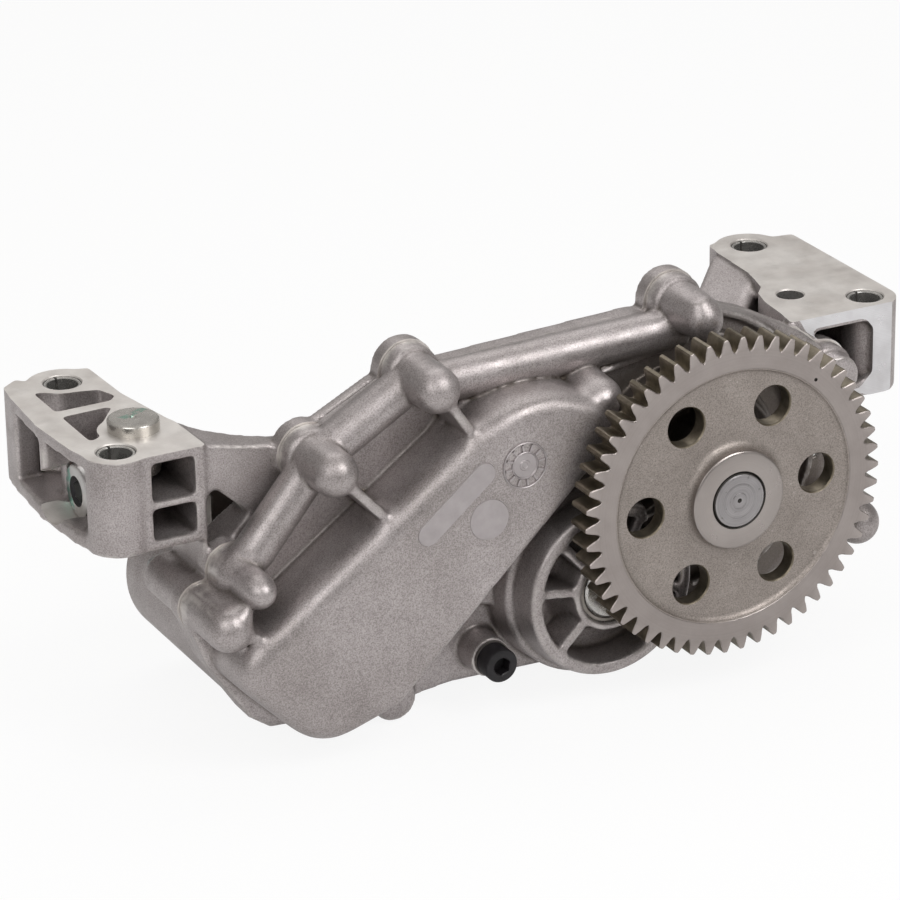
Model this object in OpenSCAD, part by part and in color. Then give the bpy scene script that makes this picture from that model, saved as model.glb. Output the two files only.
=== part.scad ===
// Engine oil pump: twin-rotor gear pump that hangs from two feet under the crankcase
// X runs across the engine, +Y away from the drive gear, +Z up to the mounting deck
// The origin is midway between the two front mounting holes, on the deck plane

/* [Feet] */
// Spacing of the two front mounting holes
front_spacing = 385.5; // [370:0.5:410]
// Spacing of the two rear mounting holes
rear_spacing = 362.7; // [350:0.5:380]
// Distance from the front pair of holes to the rear pair
row_pitch = 86.7; // [75:0.1:100]
// Diameter of the counterbored mounting holes
foot_hole_d = 17.5; // [15:0.1:20]
// Inside diameter of the ring dowels in the mounting holes
ring_inner_d = 14.5; // [12:0.1:16]
// Height of the feet
foot_h = 45; // [38:1:54]
// Radius of the bosses round the mounting holes
foot_boss_r = 14.8; // [12:0.1:18]
// Thickness of the floor and walls of the feet
foot_wall = 7; // [5:0.5:9]
// Diameter of the big locating pin on the left foot
pin_d = 23.5; // [18:0.5:26]
// Height that the locating pin stands above the deck
pin_proud = 5.7; // [3:0.1:9]
// Length of the locating pin
pin_len = 26; // [20:0.5:28]

/* [Joint between cover and housing] */
// Distance of the parting plane in front of the front holes
parting = 13.8; // [12:0.1:16]
// Thickness of the cover's flange
cover_flange_t = 8; // [6:0.5:11]
// Thickness of the housing's flange
housing_flange_t = 8.5; // [7:0.5:11]
// Radius of the flange lobes round the cover bolts
lobe_r = 13; // [11.5:0.5:15]
// Radius of the round bosses that the cover bolts screw into
boss_r = 10.75; // [9.5:0.25:12.5]
// Height of the bolt bosses from the parting plane to their round tips
boss_h = 40; // [34:1:46]
// Height of the shorter bosses that lie behind the drive gear
low_boss_h = 30; // [26:1:36]
// Height of the flat lug beside the right foot
flat_boss_h = 17; // [13:1:21]
// Thread diameter of the cover bolts
bolt_d = 8; // [6:0.5:9]

/* [Drive gear] */
// Number of teeth of the drive gear
gear_teeth = 54; // [48:1:58]
// Module of the drive gear
gear_module = 2.75; // [2.5:0.05:3]
// Face width of the drive gear
gear_w = 14; // [11:0.5:15]
// Distance of the drive gear's front face in front of the front holes
gear_front = 73.8; // [73:0.1:80]
// Sideways place of the drive shaft
drive_x = 77.4; // [70:0.1:90]
// Depth of the drive shaft below the deck
drive_depth = 51.5; // [45:0.1:56]
// Radius of the recess in the web of the gear
gear_recess_r = 61; // [55:0.5:63]
// Depth of the recess in the front of the web
gear_recess = 4; // [2:0.5:5]
// Radius of the circle of lightening holes
gear_hole_pcr = 44.9; // [42:0.1:47]
// Radius of the lightening holes
gear_hole_r = 9.3; // [7:0.1:11]
// Number of lightening holes
gear_holes = 6; // [3:1:8]
// Radius of the gear's hub
gear_hub_r = 23.5; // [20:0.5:27]
// Height of the hub in front of the gear
gear_hub_proud = 4; // [2:0.5:6]

/* [Pump rotors] */
// Number of teeth of each pump rotor
rotor_teeth = 10; // [9:1:12]
// Module of the pump rotors
rotor_module = 6.75; // [6.25:0.05:7]
// Length of the pump rotors
rotor_len = 58; // [48:1:64]
// Clearance between a rotor and its chamber
rotor_gap = 0.1; // [0.08:0.01:0.15]
// Direction from the drive shaft to the driven shaft, in degrees
driven_angle = 218.3; // [212:0.1:224]
// Diameter of both shafts
shaft_d = 27; // [24:0.5:29]
// Running clearance of a shaft in its bush, on radius
shaft_gap = 0.05; // [0.03:0.01:0.08]
// Wall of the bearing bushes
bush_wall = 2; // [1.5:0.25:3]
// Length of the front bearing bushes
front_bush_len = 34; // [26:1:38]
// Length of the rear bearing bushes
rear_bush_len = 22; // [16:1:24]

/* [Casting] */
// Distance of the duct's flat front ahead of the front holes
duct_front = 55.8; // [50:0.1:57]
// Radius of the round edges of the duct
duct_round = 8; // [7:0.5:10]
// Wall of the duct
duct_wall = 5; // [4:0.5:7]
// Radius of the round ribs between the bolt bosses
rib_r = 9.5; // [7:0.5:10.5]
// Radius of the suction port
suction_r = 27; // [22:0.5:30]
// Wall of the round suction pipe of the housing
suction_wall = 10; // [8:0.5:13]
// How far the suction pipe reaches behind the front holes
suction_back = 88; // [80:1:105]
// Radius of the delivery port
delivery_r = 13; // [9:0.5:15]

/* [Valves] */
// Radius of the relief valve's piston
relief_r = 8; // [7:0.25:9]
// Length of the relief valve's piston
relief_piston_len = 22; // [16:1:26]
// Travel of the relief valve's piston
relief_travel = 9; // [5:0.5:11]
// Radius of the safety valve's piston
safety_r = 5; // [4:0.25:6]
// Length of the safety valve's piston
safety_piston_len = 13; // [10:0.5:16]
// Travel of the safety valve's piston
safety_travel = 5; // [3:0.5:6]

/* [Hidden] */
$fn = 64;

// Planes across the pump, all as Y
parting_y = -parting;
cover_y = parting_y - cover_flange_t;
flange_back_y = parting_y + housing_flange_t;
duct_y = -duct_front;
gear_y = -gear_front;
gear_back_y = gear_y + gear_w;
chamber_back_y = parting_y + rotor_len;
housing_back_y = chamber_back_y + 9;
hub_back_y = chamber_back_y + rear_bush_len + 4;
shaft_tail_y = hub_back_y - 3;

// Shaft centres as [x, z]
function polar(r, a) = [r * cos(a), r * sin(a)];
drive = [drive_x, -drive_depth];
centre_distance = rotor_teeth * rotor_module;
driven = drive + polar(centre_distance, driven_angle);
mesh_point = (drive + driven) / 2;
suction_window = mesh_point + polar(32, driven_angle - 90);
suction_window_r = 12;
channel_start = [0, -26];
channel_r = 9;
channel_depth = 5;

// Turn of the drive gear's teeth and of its holes, in degrees
gear_phase = 187.08;
gear_hole_phase = 122.12;

// Seat of the thrust washer behind the drive gear
gear_back_proud = 1.5;
washer_gap = 0.1;
washer_t = 1.4;
drive_boss_y = gear_back_y + gear_back_proud + washer_gap + washer_t;

// Rotor sizes
pitch_r = centre_distance / 2;
rotor_tip_r = pitch_r + rotor_module;
rotor_root_r = pitch_r - 1.18 * rotor_module;
chamber_r = rotor_tip_r + rotor_gap;
shaft_r = shaft_d / 2;
bush_inner_r = shaft_r + shaft_gap;
bush_outer_r = bush_inner_r + bush_wall;
hub_r = bush_outer_r + 4;
driven_rim_r = chamber_r + 7.5;
drive_rim_r = chamber_r + 8;

// Mounting holes as [x, y]
front_left = [-front_spacing / 2, 0];
front_right = [front_spacing / 2, 0];
rear_left = [-rear_spacing / 2, row_pitch];
rear_right = [rear_spacing / 2, row_pitch];
foot_holes = [front_left, front_right, rear_left, rear_right];
spare_hole = [163.2, 19.2];
spare_hole_r = 6.5;
pin_at = [-175.4, 20.1];
ring_depth = 16;
pin_shank_r = pin_d / 2 - 0.25;
spare_hole_depth = 20;
foot_front_y = -13;
foot_back_y = row_pitch + foot_boss_r + 1;

// Bolts between cover and housing as [x, z], with the height of each boss
bolts = [[-161, -75], [-108, -12.5], [-57.5, 17], [24, -3], [drive_x + 0.6, 25], [160, -25],
    [163, -93.5], [100, -122], [-72, -138]];
boss_heights = [boss_h, boss_h, boss_h, boss_h, boss_h, flat_boss_h, boss_h, low_boss_h,
    cover_flange_t + 4];
long_bolt_y = 26;
dowels = [[-147, -59.5], [150, -62]];
dowel_r = 5;
bolt_r = bolt_d / 2;
bolt_clear = 0.5;
tip_flat = 0.1;
head_r = bolt_r + 4;

// Valve places
relief_at = [34, -30.5];
relief_face_x = -198.5;
relief_end_x = -134;
relief_coils = 7;
safety_coils = 8;
relief_thread_r = relief_r + 1;
relief_wall = 5;
relief_plug_len = 15.5;
relief_flange_r = 12.4;
relief_flange_t = 4;
seal_t = 1.2;
relief_seat_x = relief_face_x + relief_flange_t + seal_t;
safety_at = [-28.5, -122.5];
safety_face_y = -47.5;
safety_thread_r = 6.5;
safety_head_len = 9.6;
safety_plug_len = 21;
safety_piston_y = -5.5;
safety_seal_t = 1.4;
safety_seat_y = safety_face_y + safety_head_len + safety_seal_t;
safety_head_r = 8.1;
safety_socket_r = 4.4;
relief_socket_r = 5.8;

// Ports
suction_at = [-117, -103];
suction_outer_r = suction_r + suction_wall;
delivery_at = mesh_point + polar(46, driven_angle + 90);
delivery_front = parting_y + rotor_len / 2;

// A slab across the pump, drawn in XZ, from one Y to another
module across(y0, y1) {
    translate([0, y1, 0])
        rotate([90, 0, 0])
            linear_extrude(y1 - y0)
                children();
}

// A round bar along Y
module bar_y(at, r, y0, y1) {
    across(y0, y1)
        translate(at)
            circle(r);
}

// A round bar along X
module bar_x(at, r, x0, x1) {
    translate([x0, at[0], at[1]])
        rotate([0, 90, 0])
            cylinder(h = x1 - x0, r = r);
}

// A round bar along Z
module bar_z(at, r, z0, z1) {
    translate([at[0], at[1], z0])
        cylinder(h = z1 - z0, r = r);
}

// A body turned about an axis along Y, its outline drawn as [radius, forward]
module turned_y(at, y0) {
    translate([at[0], y0, at[1]])
        rotate([90, 0, 0])
            rotate_extrude()
                children();
}

// The straight part of the flange's outline, without its lobes
module flange_field() {
    polygon([[-154, -63], [-117, -30], [-101, 1], [-73, 15], [-41, 17.5], [55, 22], [94, 21], [118, 12],
        [146, -3], [166, -20], [173, -32], [174, -90], [166, -108], [108, -130], [60, -138], [24, -140],
        [-41, -138], [-72, -142], [-112, -141], [-133, -139], [-143, -132], [-163, -101], [-171, -80]]);
}

// The whole outline of the joint, its lobes made wider by grow
module flange_outline(grow) {
    flange_field();
    for (b = [1, 2, 4, 5, 6])
        translate(bolts[b])
            circle(lobe_r + grow);
    for (b = [0, 7, 8])
        translate(bolts[b])
            circle(boss_r + grow);
    for (d = dowels)
        translate(d)
            circle(boss_r + grow);
    translate(driven)
        circle(chamber_r + 8);
    translate(suction_at)
        circle(suction_outer_r);
}

// Round-nosed boss for a bolt from behind
module bolt_boss(at, h) {
    if (h > 2 * boss_r) {
        turned_y(at, parting_y)
            union() {
                square([boss_r, h - boss_r]);
                intersection() {
                    translate([0, h - boss_r])
                        circle(boss_r);
                    square([boss_r, h - tip_flat]);
                }
            }
    } else {
        bar_y(at, boss_r, parting_y - h, parting_y);
    }
}

// Half-buried round rib between two points of the cover
module round_rib(a, b, r, y) {
    d = b - a;
    translate([a[0], y, a[1]])
        rotate([0, -atan2(d[1], d[0]), 0])
            rotate([0, 90, 0])
                cylinder(h = norm(d), r = r);
}

// Straight strut between two points, standing up to the plane y
module strut(a, b, w, y) {
    d = b - a;
    translate([a[0], y, a[1]])
        rotate([0, -atan2(d[1], d[0]), 0])
            translate([0, 0, -w / 2])
                cube([norm(d), parting_y - y - 1, w]);
}

// One disc of the duct, with a round front edge
module duct_disc(at, r, front, edge, back) {
    turned_y(at, back)
        intersection() {
            union() {
                translate([r - edge, back - front - edge])
                    circle(edge);
                square([r - edge, back - front]);
                square([r, back - front - edge]);
            }
            square([r + 1, 100]);
        }
}

duct_low = [-147, -96.5];
duct_low_r = 13.5;
duct_foot = [-115, -112.5];
duct_foot_r = 25;
duct_top = [-9, -47];
duct_top_r = 54.5;

// Outer skin of the duct, before its straight lower edge is cut
module duct_skin(inset, edge, back) {
    hull() {
        duct_disc(duct_low, duct_low_r - inset, duct_y + inset, edge, back, $fn = 32);
        duct_disc(duct_foot, duct_foot_r - inset, duct_y + inset, edge, back, $fn = 32);
        duct_disc(duct_top, duct_top_r - inset, duct_y + inset, edge, back, $fn = 48);
    }
}

// Everything on the lower right of the duct's straight edge
module below_duct_edge(inset) {
    edge_a = [-86, -126];
    edge_b = [-10, -53];
    d = edge_b - edge_a;
    translate([edge_a[0], -90, edge_a[1]])
        rotate([0, -atan2(d[1], d[0]), 0])
            translate([-60, 0, -120 + inset])
                cube([300, 120, 120]);
}

// Stepped wheel that carries the driven shaft
module driven_wheel() {
    reach = parting_y - duct_y;
    turned_y(driven, parting_y)
        polygon([[0, 1], [driven_rim_r, 1], [chamber_r + 6, reach - 18], [chamber_r + 4.5, reach - 16.5],
            [chamber_r + 2.8, reach - 16.5], [chamber_r + 1.2, reach - 2], [chamber_r, reach],
            [0, reach]]);
}

// Directions of the wheel's spokes about the driven shaft, in degrees
spokes = [64, 133, 172, 224, 306, 350];
spoke_w = 4.8;
wheel_floor_y = duct_y + 20;
drive_spokes = [20, 80, 140, 206, 260, 320];
drive_rim_y = drive_boss_y + 11;

// Pockets of a spoked wheel between its hub and its rim
module wheel_pockets(at, directions, front_y, floor_y) {
    rim_r = chamber_r - 5;
    difference() {
        across(duct_y - 2, floor_y)
            translate(at)
                difference() {
                    circle(rim_r);
                    circle(hub_r);
                }
        for (a = directions)
            translate([at[0], front_y, at[1]])
                rotate([0, -a, 0])
                    translate([0, 0, -spoke_w / 2])
                        cube([chamber_r, floor_y - front_y + 1, spoke_w]);
        turned_y(at, floor_y)
            polygon([[hub_r, -1], [hub_r + 6, -1], [hub_r + 6, 0], [hub_r + 2, 5], [hub_r, 10]]);
    }
}

module front_cover() {
    rib_y = parting_y - 10;
    color([0.62, 0.60, 0.58])
        difference() {
            union() {
                across(cover_y, parting_y)
                    flange_outline(0);
                for (k = [0:len(bolts) - 1])
                    bolt_boss(bolts[k], boss_heights[k]);
                bolt_boss(dowels[0], boss_h);
                round_rib(dowels[0], bolts[1], rib_r, rib_y);
                round_rib(bolts[1], bolts[2], rib_r, rib_y);
                round_rib(bolts[2] - [0, 5.5], bolts[4] - [0, 10], rib_r, rib_y);
                strut(bolts[3] + [4, 3], bolts[4] - [6, 18], 2.4, cover_y - 6);
                across(cover_y - 6, parting_y)
                    intersection() {
                        flange_field();
                        translate(duct_top)
                            circle(duct_top_r + 1.6);
                    }
                difference() {
                    duct_skin(0, duct_round, parting_y - 6);
                    below_duct_edge(0);
                }
                driven_wheel();
                drive_boss();
                drive_ridges();
                strut(bolts[1], [-81, -42], 4.6, duct_y + 5);
                strut(bolts[2], [-37, -14], 4.6, duct_y + 5);
                strut(bolts[0], [-137, -87], 5, duct_y + 5);
                bar_y(safety_at, safety_thread_r + 3.2, safety_seat_y, parting_y);
                pads();
            }
            wheel_pockets(driven, spokes, duct_y + 1.2, wheel_floor_y);
            wheel_pockets(drive, drive_spokes, drive_rim_y + 1.2, wheel_floor_y + 6);
            duct_cavity();
            cover_bores();
        }
}

// Low pads on the flat front of the duct
module pads() {
    pad_a = [-69, -45];
    pad_b = [-41, -22];
    pad_r = 5.7;
    pad_side = 5.5;
    d = pad_b - pad_a;
    proud = 0.6;
    bar_y([-38.9, -44.1], 10, duct_y - proud, duct_y + 1);
    across(duct_y - proud, duct_y + 1)
        union() {
            translate(pad_a)
                circle(pad_r);
            translate(pad_b)
                circle(pad_r);
            translate(pad_a)
                rotate(atan2(d[1], d[0]))
                    translate([0, -pad_side])
                        square([norm(d), 2 * pad_side]);
        }
}

// Boss that carries the front of the drive shaft
module drive_boss() {
    reach = parting_y - drive_boss_y;
    rim = parting_y - drive_rim_y;
    turned_y(drive, parting_y)
        polygon([[0, 1], [drive_rim_r, 1], [chamber_r + 6, rim - 11], [chamber_r + 4.5, rim - 9.5],
            [chamber_r + 2.8, rim - 9.5], [chamber_r + 1.2, rim - 1.5], [chamber_r, rim],
            [hub_r + 5, rim], [hub_r + 3, reach - 2], [hub_r + 2, reach], [0, reach]]);
}

// Round ridges on the flange about the drive shaft, each as [radius, height]
ridges = [[64, 7], [74, 3.5]];
ridge_w = 3.4;

module drive_ridges() {
    for (ridge = ridges)
        across(cover_y - ridge[1], parting_y)
            intersection() {
                flange_field();
                translate(drive)
                    difference() {
                        circle(ridge[0]);
                        circle(ridge[0] - ridge_w);
                    }
                translate([drive_x + 5, -150])
                    square([120, 200]);
            }
}

// Hollow of the suction duct, open to the joint face
module duct_cavity() {
    difference() {
        duct_skin(duct_wall, duct_round - duct_wall, parting_y + 1);
        below_duct_edge(duct_wall);
        translate([0, -60, 0])
            rotate([-90, 0, 0])
                union() {
                    translate([driven[0], -driven[1], 0])
                        cylinder(h = 60, r = driven_rim_r);
                    translate([drive[0], -drive[1], 0])
                        cylinder(h = 60, r = drive_rim_r);
                    for (b = [0, 1, 2, 3, 8])
                        translate([bolts[b][0], -bolts[b][1], 0])
                            cylinder(h = 60, r = boss_r);
                    translate([dowels[0][0], -dowels[0][1], 0])
                        cylinder(h = 60, r = boss_r);
                }
    }
    // Channel from the duct to the suction window beside the mesh
    across(parting_y - channel_depth, parting_y + 1)
        hull() {
            translate(suction_window)
                circle(channel_r);
            translate(channel_start)
                circle(channel_r);
        }
}

// Bores of the cover: bushes, bolts, dowels and the safety valve
module cover_bores() {
    for (at = [drive, driven])
        bar_y(at, bush_outer_r, gear_back_y, parting_y + 1);
    for (k = [0:len(bolts) - 1])
        bar_y(bolts[k], bolt_r, parting_y - bolt_depth(k), parting_y + 1);
    for (d = dowels)
        bar_y(d, dowel_r, parting_y - dowel_half - 1, parting_y + 1);
    bar_y(safety_at, safety_thread_r, safety_face_y - 1, safety_face_y + safety_plug_len + 1);
    bar_y(safety_at, safety_r + shaft_gap, safety_face_y + safety_plug_len, parting_y + 1);
}

bolt_reach = 22;
dowel_half = 7;
blind_wall = 3;

// Depth of a bolt's blind hole in the cover, from the joint
function bolt_depth(k) = min(bolt_reach, boss_heights[k] - blind_wall);

// Outlines of the decks, drawn in XY
module left_foot_plan() {
    polygon([[-156.2, foot_front_y], [front_left[0], foot_front_y], front_left - [foot_boss_r, -3],
        [-209.5, 11.4], [-211.8, 44.3], [-209.2, 80.7], [-207.4, 93.4], [-198.9, 99.8], [-194.7, 94.6],
        rear_left + [1, foot_boss_r], [-164.2, 97], [-163.4, 61.4], [-157.5, 24.1]]);
    translate(front_left)
        circle(foot_boss_r);
    translate(rear_left)
        circle(foot_boss_r + 1.7);
}

module right_foot_plan() {
    polygon([[144.4, foot_front_y], [front_right[0], foot_front_y], front_right + [foot_boss_r, 3],
        [207.8, 89.7], [196.2, 91.4], rear_right + [-1, foot_boss_r], [164, 96], [162.8, 86],
        [161.5, 54.7], [156.3, 34.2], [150.8, 28], [147.5, 16.1], [146.3, 1.6]]);
    translate(front_right)
        circle(foot_boss_r);
    translate(rear_right)
        circle(foot_boss_r + 1.7);
}

module left_foot() {
    shelf_z = -24;
    shelf_t = 3.6;
    difference() {
        translate([0, 0, -foot_h])
            linear_extrude(foot_h)
                left_foot_plan();
        // Two pockets open to the deck
        translate([0, 0, -foot_h + foot_wall])
            linear_extrude(foot_h)
                difference() {
                    union() {
                        polygon([[-198, 81], [-184, 74], [-170.5, 70], [-167, 60], [-171, 55.5],
                            [-198, 55]]);
                        polygon([[-198, 48], [-173, 49], [-184, 34], [-190, 20], [-198, 15.5]]);
                    }
                    translate(rear_left)
                        circle(foot_hole_d / 2 + 5);
                    translate(front_left)
                        circle(foot_boss_r + 1.5);
                    translate(pin_at)
                        circle(pin_d / 2 + 4.5);
                }
        // Two windows in the outer side, parted by a rib
        for (w = [[1, 38.5], [43.5, 76]])
            difference() {
                translate([-216, w[0], -foot_h + foot_wall])
                    cube([18.5, w[1] - w[0], foot_h - foot_wall - 6]);
                bar_z(front_left, foot_boss_r - 1, -foot_h, 1);
            }
        // Two windows in the front, parted by a shelf
        for (w = [[shelf_z + shelf_t / 2, -4.5], [-foot_h + 4.5, shelf_z - shelf_t / 2]])
            difference() {
                translate([-181.5, foot_front_y - 1, w[0]])
                    cube([20.5, 44, w[1] - w[0]]);
                bar_z(front_left, foot_hole_d / 2 + 2.5, -foot_h, 1);
            }
    }
}

module right_foot() {
    difference() {
        translate([0, 0, -foot_h])
            linear_extrude(foot_h)
                right_foot_plan();
        // One big window in the front
        difference() {
            across(foot_front_y - 4, 58)
                polygon([[154, -12], [159, -7.5], [186, -7.5], [189.5, -11], [189.5, -34], [182, -38],
                    [154, -38]]);
            bar_z(front_right, foot_hole_d / 2 + 2, -foot_h, 1);
            bar_z(spare_hole, spare_hole_r + 3, -spare_hole_depth - 3, 1);
        }
    }
}

// Web that ties the left foot to the joint flange, thinner towards the flange
module left_arm() {
    top_edge = [[-158, 0], [-136, -5], [-116, -8], [-99, -9]];
    difference() {
        intersection() {
            across(-12, 40)
                polygon(concat(top_edge, [[-99, -30], [-150, -74], [-158, -74]]));
            translate([0, 0, -80])
                linear_extrude(90)
                    polygon([[-158, -12], [-96, -12], [-96, -4], [-130, 3], [-148, 11], [-158, 24]]);
        }
        // Three-cornered hole beside the flange
        across(-30, 60)
            polygon([[-150.5, -23], [-135, -37], [-153.5, -55], [-155.5, -52], [-155.5, -27],
                [-153.5, -23.5]]);
    }
    // Bore housing of the relief valve, from the foot to the body
    bar_x(relief_at, relief_r + relief_wall, -190, relief_end_x + 6);
    // Wall between the relief valve's bore and the body, behind the three-cornered hole
    translate([relief_end_x - 4, 24, -68])
        cube([40, 16, 34]);
}

module right_arm() {
    hull() {
        translate([145, foot_front_y + 1, -foot_h])
            cube([6, 40, foot_h - 14]);
        translate([118, flange_back_y - 1, -70])
            cube([8, 44, 62]);
    }
    hull() {
        translate([160, 50, -foot_h])
            cube([6, 36, foot_h - 1.5]);
        translate([115, 8, -76])
            cube([8, 34, 55]);
    }
}

// Body of the housing behind the joint
module housing_body() {
    for (at = [drive, driven])
        turned_y(at, housing_back_y)
            polygon([[0, 0], [chamber_r + 2, 0], [chamber_r + 6, 4], [chamber_r + 8, 16],
                [chamber_r + 8, housing_back_y - parting_y], [0, housing_back_y - parting_y]]);
    across(parting_y, chamber_back_y - 4)
        polygon([[-130, -66], [-114, -54], [-60, -20], [20, -8], [112, -8], [132, -34], [134, -84],
            [110, -116], [40, -134], [-60, -138], [-112, -128], [-130, -90]]);
    for (at = [drive, driven])
        turned_y(at, hub_back_y)
            polygon([[0, 0], [hub_r + 1, 0], [hub_r + 2, 3], [hub_r + 4, 22], [0, 22]]);
    bar_y(suction_at, suction_outer_r, parting_y, suction_back);
    bar_y(delivery_at, delivery_r + 7, parting_y, housing_back_y + 6);
}

// Where the head of a cover bolt sits
function bolt_seat(k) = k == 0 ? long_bolt_y : flange_back_y - 0.5;

module housing_bores() {
    for (at = [drive, driven]) {
        bar_y(at, chamber_r, parting_y - 1, chamber_back_y);
        bar_y(at, bush_outer_r, chamber_back_y - 1, hub_back_y + 1);
    }
    // Bolt holes with flat seats and room for the heads
    for (k = [0:len(bolts) - 1]) {
        bar_y(bolts[k], bolt_r + bolt_clear, parting_y - 1, bolt_seat(k) + 1);
        bar_y(bolts[k], head_r + bolt_clear, bolt_seat(k), bolt_seat(k) + 44);
    }
    for (d = dowels)
        bar_y(d, dowel_r, parting_y - 1, parting_y + dowel_half + 1);
    // Suction pipe
    bar_y(suction_at, suction_r, parting_y - 1, suction_back + 1);
    // Delivery gallery from the mesh to its port
    bar_y(delivery_at, delivery_r, delivery_front, housing_back_y + 7);
    bar_y(mesh_point + polar(33, driven_angle + 90), delivery_r - 3, parting_y + 6, delivery_front + 1);
    // Suction window beside the mesh
    bar_y(suction_window, suction_window_r, parting_y - 1, parting_y + 30);
    // Relief valve
    bar_x(relief_at, relief_r + shaft_gap, relief_face_x + 10, relief_end_x);
    bar_x(relief_at, relief_thread_r, relief_face_x + 1, relief_face_x + relief_plug_len + 1);
    bar_x(relief_at, relief_flange_r + 0.5, relief_face_x - 4, relief_seat_x);
    // Piston bore of the safety valve
    bar_y(safety_at, safety_r + shaft_gap, parting_y - 1, safety_piston_y + safety_piston_len + 0.5);
    // Narrow slot in the joint between two of the lobes
    translate([bolts[1][0], parting_y - 1, bolts[1][1]])
        rotate([0, -atan2(bolts[2][1] - bolts[1][1], bolts[2][0] - bolts[1][0]), 0])
            translate([lobe_r, 0, 1.5])
                cube([30, 3.6, 20]);
}

module foot_bores() {
    for (h = foot_holes)
        bar_z(h, foot_hole_d / 2, -ring_depth, 1);
    for (h = foot_holes)
        bar_z(h, ring_inner_d / 2, -foot_h - 1, 1);
    bar_z(spare_hole, spare_hole_r, -spare_hole_depth, 1);
    bar_z(pin_at, pin_shank_r, -pin_len + pin_proud, 1);
}

module rear_housing() {
    color([0.64, 0.62, 0.60])
        difference() {
            union() {
                across(parting_y, flange_back_y)
                    flange_outline(1);
                for (b = bolts)
                    bar_y(b, boss_r, parting_y, flange_back_y + 3);
                bar_y(bolts[0], boss_r, parting_y, long_bolt_y);
                housing_body();
                left_foot();
                left_arm();
                right_foot();
                right_arm();
                bar_x(relief_at, relief_r + relief_wall, relief_seat_x, -150);
            }
            housing_bores();
            foot_bores();
        }
}

// Involute helpers
function inv(a) = tan(a) * 180 / PI - a;
function half_angle(r, rp, rb, t) =
    t / (2 * rp) * 180 / PI + inv(acos(rb / rp)) - inv(acos(min(1, rb / r)));

// Outline of a spur gear with its teeth from root to tip
function gear_points(z, rp, pa, tip, root, thick, steps) =
    let (rb = rp * cos(pa), start = max(rb, root))
    [for (k = [0:z - 1], side = [-1, 1], s = [0:steps])
        let (
            u = side < 0 ? s : steps - s,
            r = u == 0 ? root : start + (tip - start) * (u - 1) / (steps - 1),
            h = half_angle(max(r, start), rp, rb, thick)
        )
        polar(r, k * 360 / z + side * h)];

module rotor_teeth_outline(phase) {
    rotate(phase)
        polygon(gear_points(rotor_teeth, pitch_r, 25, rotor_tip_r, rotor_root_r,
            PI * rotor_module / 2 - 0.16, 5));
}

module drive_rotor() {
    color([0.55, 0.54, 0.53])
        across(parting_y + rotor_gap, chamber_back_y - rotor_gap)
            translate(drive)
                difference() {
                    rotor_teeth_outline(driven_angle);
                    circle(shaft_r);
                }
}

module driven_rotor() {
    color([0.55, 0.54, 0.53])
        across(parting_y + rotor_gap, chamber_back_y - rotor_gap)
            translate(driven)
                difference() {
                    rotor_teeth_outline(driven_angle + 180 + 180 / rotor_teeth);
                    circle(shaft_r);
                }
}

module drive_gear() {
    tip_r = (gear_teeth + 2) * gear_module / 2;
    pitch = gear_teeth * gear_module / 2;
    root_r = tip_r - 7;
    color([0.60, 0.56, 0.52])
        difference() {
            union() {
                across(gear_y, gear_back_y)
                    translate(drive)
                        rotate(gear_phase)
                            polygon(gear_points(gear_teeth, pitch, 20, tip_r, root_r,
                                PI * gear_module / 2 - 0.1, 4));
                turned_y(drive, gear_back_y)
                    polygon([[0, -gear_back_proud], [gear_hub_r, -gear_back_proud],
                        [gear_hub_r, gear_w + gear_hub_proud - 1], [gear_hub_r - 1, gear_w + gear_hub_proud],
                        [0, gear_w + gear_hub_proud]]);
            }
            turned_y(drive, gear_y)
                polygon([[gear_hub_r, 1], [gear_recess_r + 0.6, 1], [gear_recess_r, 0],
                    [gear_recess_r - 1.2, -gear_recess], [gear_hub_r + 2, -gear_recess],
                    [gear_hub_r, -gear_recess + 1.5]]);
            turned_y(drive, gear_back_y)
                polygon([[gear_hub_r, -1], [gear_recess_r, -1], [gear_recess_r - 1, 3], [gear_hub_r + 2, 3],
                    [gear_hub_r, 1]]);
            for (k = [0:gear_holes - 1])
                bar_y(drive + polar(gear_hole_pcr, gear_hole_phase + 360 / gear_holes * k), gear_hole_r,
                    gear_y - 1, gear_back_y + 1);
            bar_y(drive, shaft_r, gear_y - 10, gear_back_y + 10);
            key_seat();
        }
}

key_w = 6;
key_len = 11;

module key_seat() {
    translate([drive[0] - key_w / 2, gear_back_y - key_len + 1, drive[1] + shaft_r - 3])
        cube([key_w, key_len, 5.6]);
}

module gear_key() {
    color([0.45, 0.45, 0.46])
        key_seat();
}

module drive_shaft() {
    nose_y = gear_y - gear_hub_proud - 0.6;
    len = shaft_tail_y - nose_y;
    color([0.66, 0.65, 0.63])
        difference() {
            turned_y(drive, shaft_tail_y)
                polygon([[0, 0], [shaft_r - 1, 0], [shaft_r, 1], [shaft_r, len - 1.5], [shaft_r - 1.5, len],
                    [shaft_r - 5, len], [shaft_r - 5.4, len - 0.4], [shaft_r - 5.8, len], [2.2, len],
                    [0, len - 1.8]]);
            key_seat();
        }
}

module driven_shaft() {
    len = shaft_tail_y - duct_y - 1;
    color([0.66, 0.65, 0.63])
        turned_y(driven, shaft_tail_y)
            polygon([[0, 0], [shaft_r - 1, 0], [shaft_r, 1], [shaft_r, len - 1], [shaft_r - 1, len],
                [0, len]]);
}

// Plain bearing bush with chamfered ends
module bush(at, y0, len) {
    turned_y(at, y0 + len)
        polygon([[bush_inner_r, 0.6], [bush_inner_r + 0.6, 0], [bush_outer_r, 0], [bush_outer_r, len],
            [bush_inner_r + 0.6, len], [bush_inner_r, len - 0.6]]);
}

module drive_front_bush() {
    color([0.72, 0.58, 0.40])
        bush(drive, parting_y - front_bush_len, front_bush_len);
}

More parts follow.
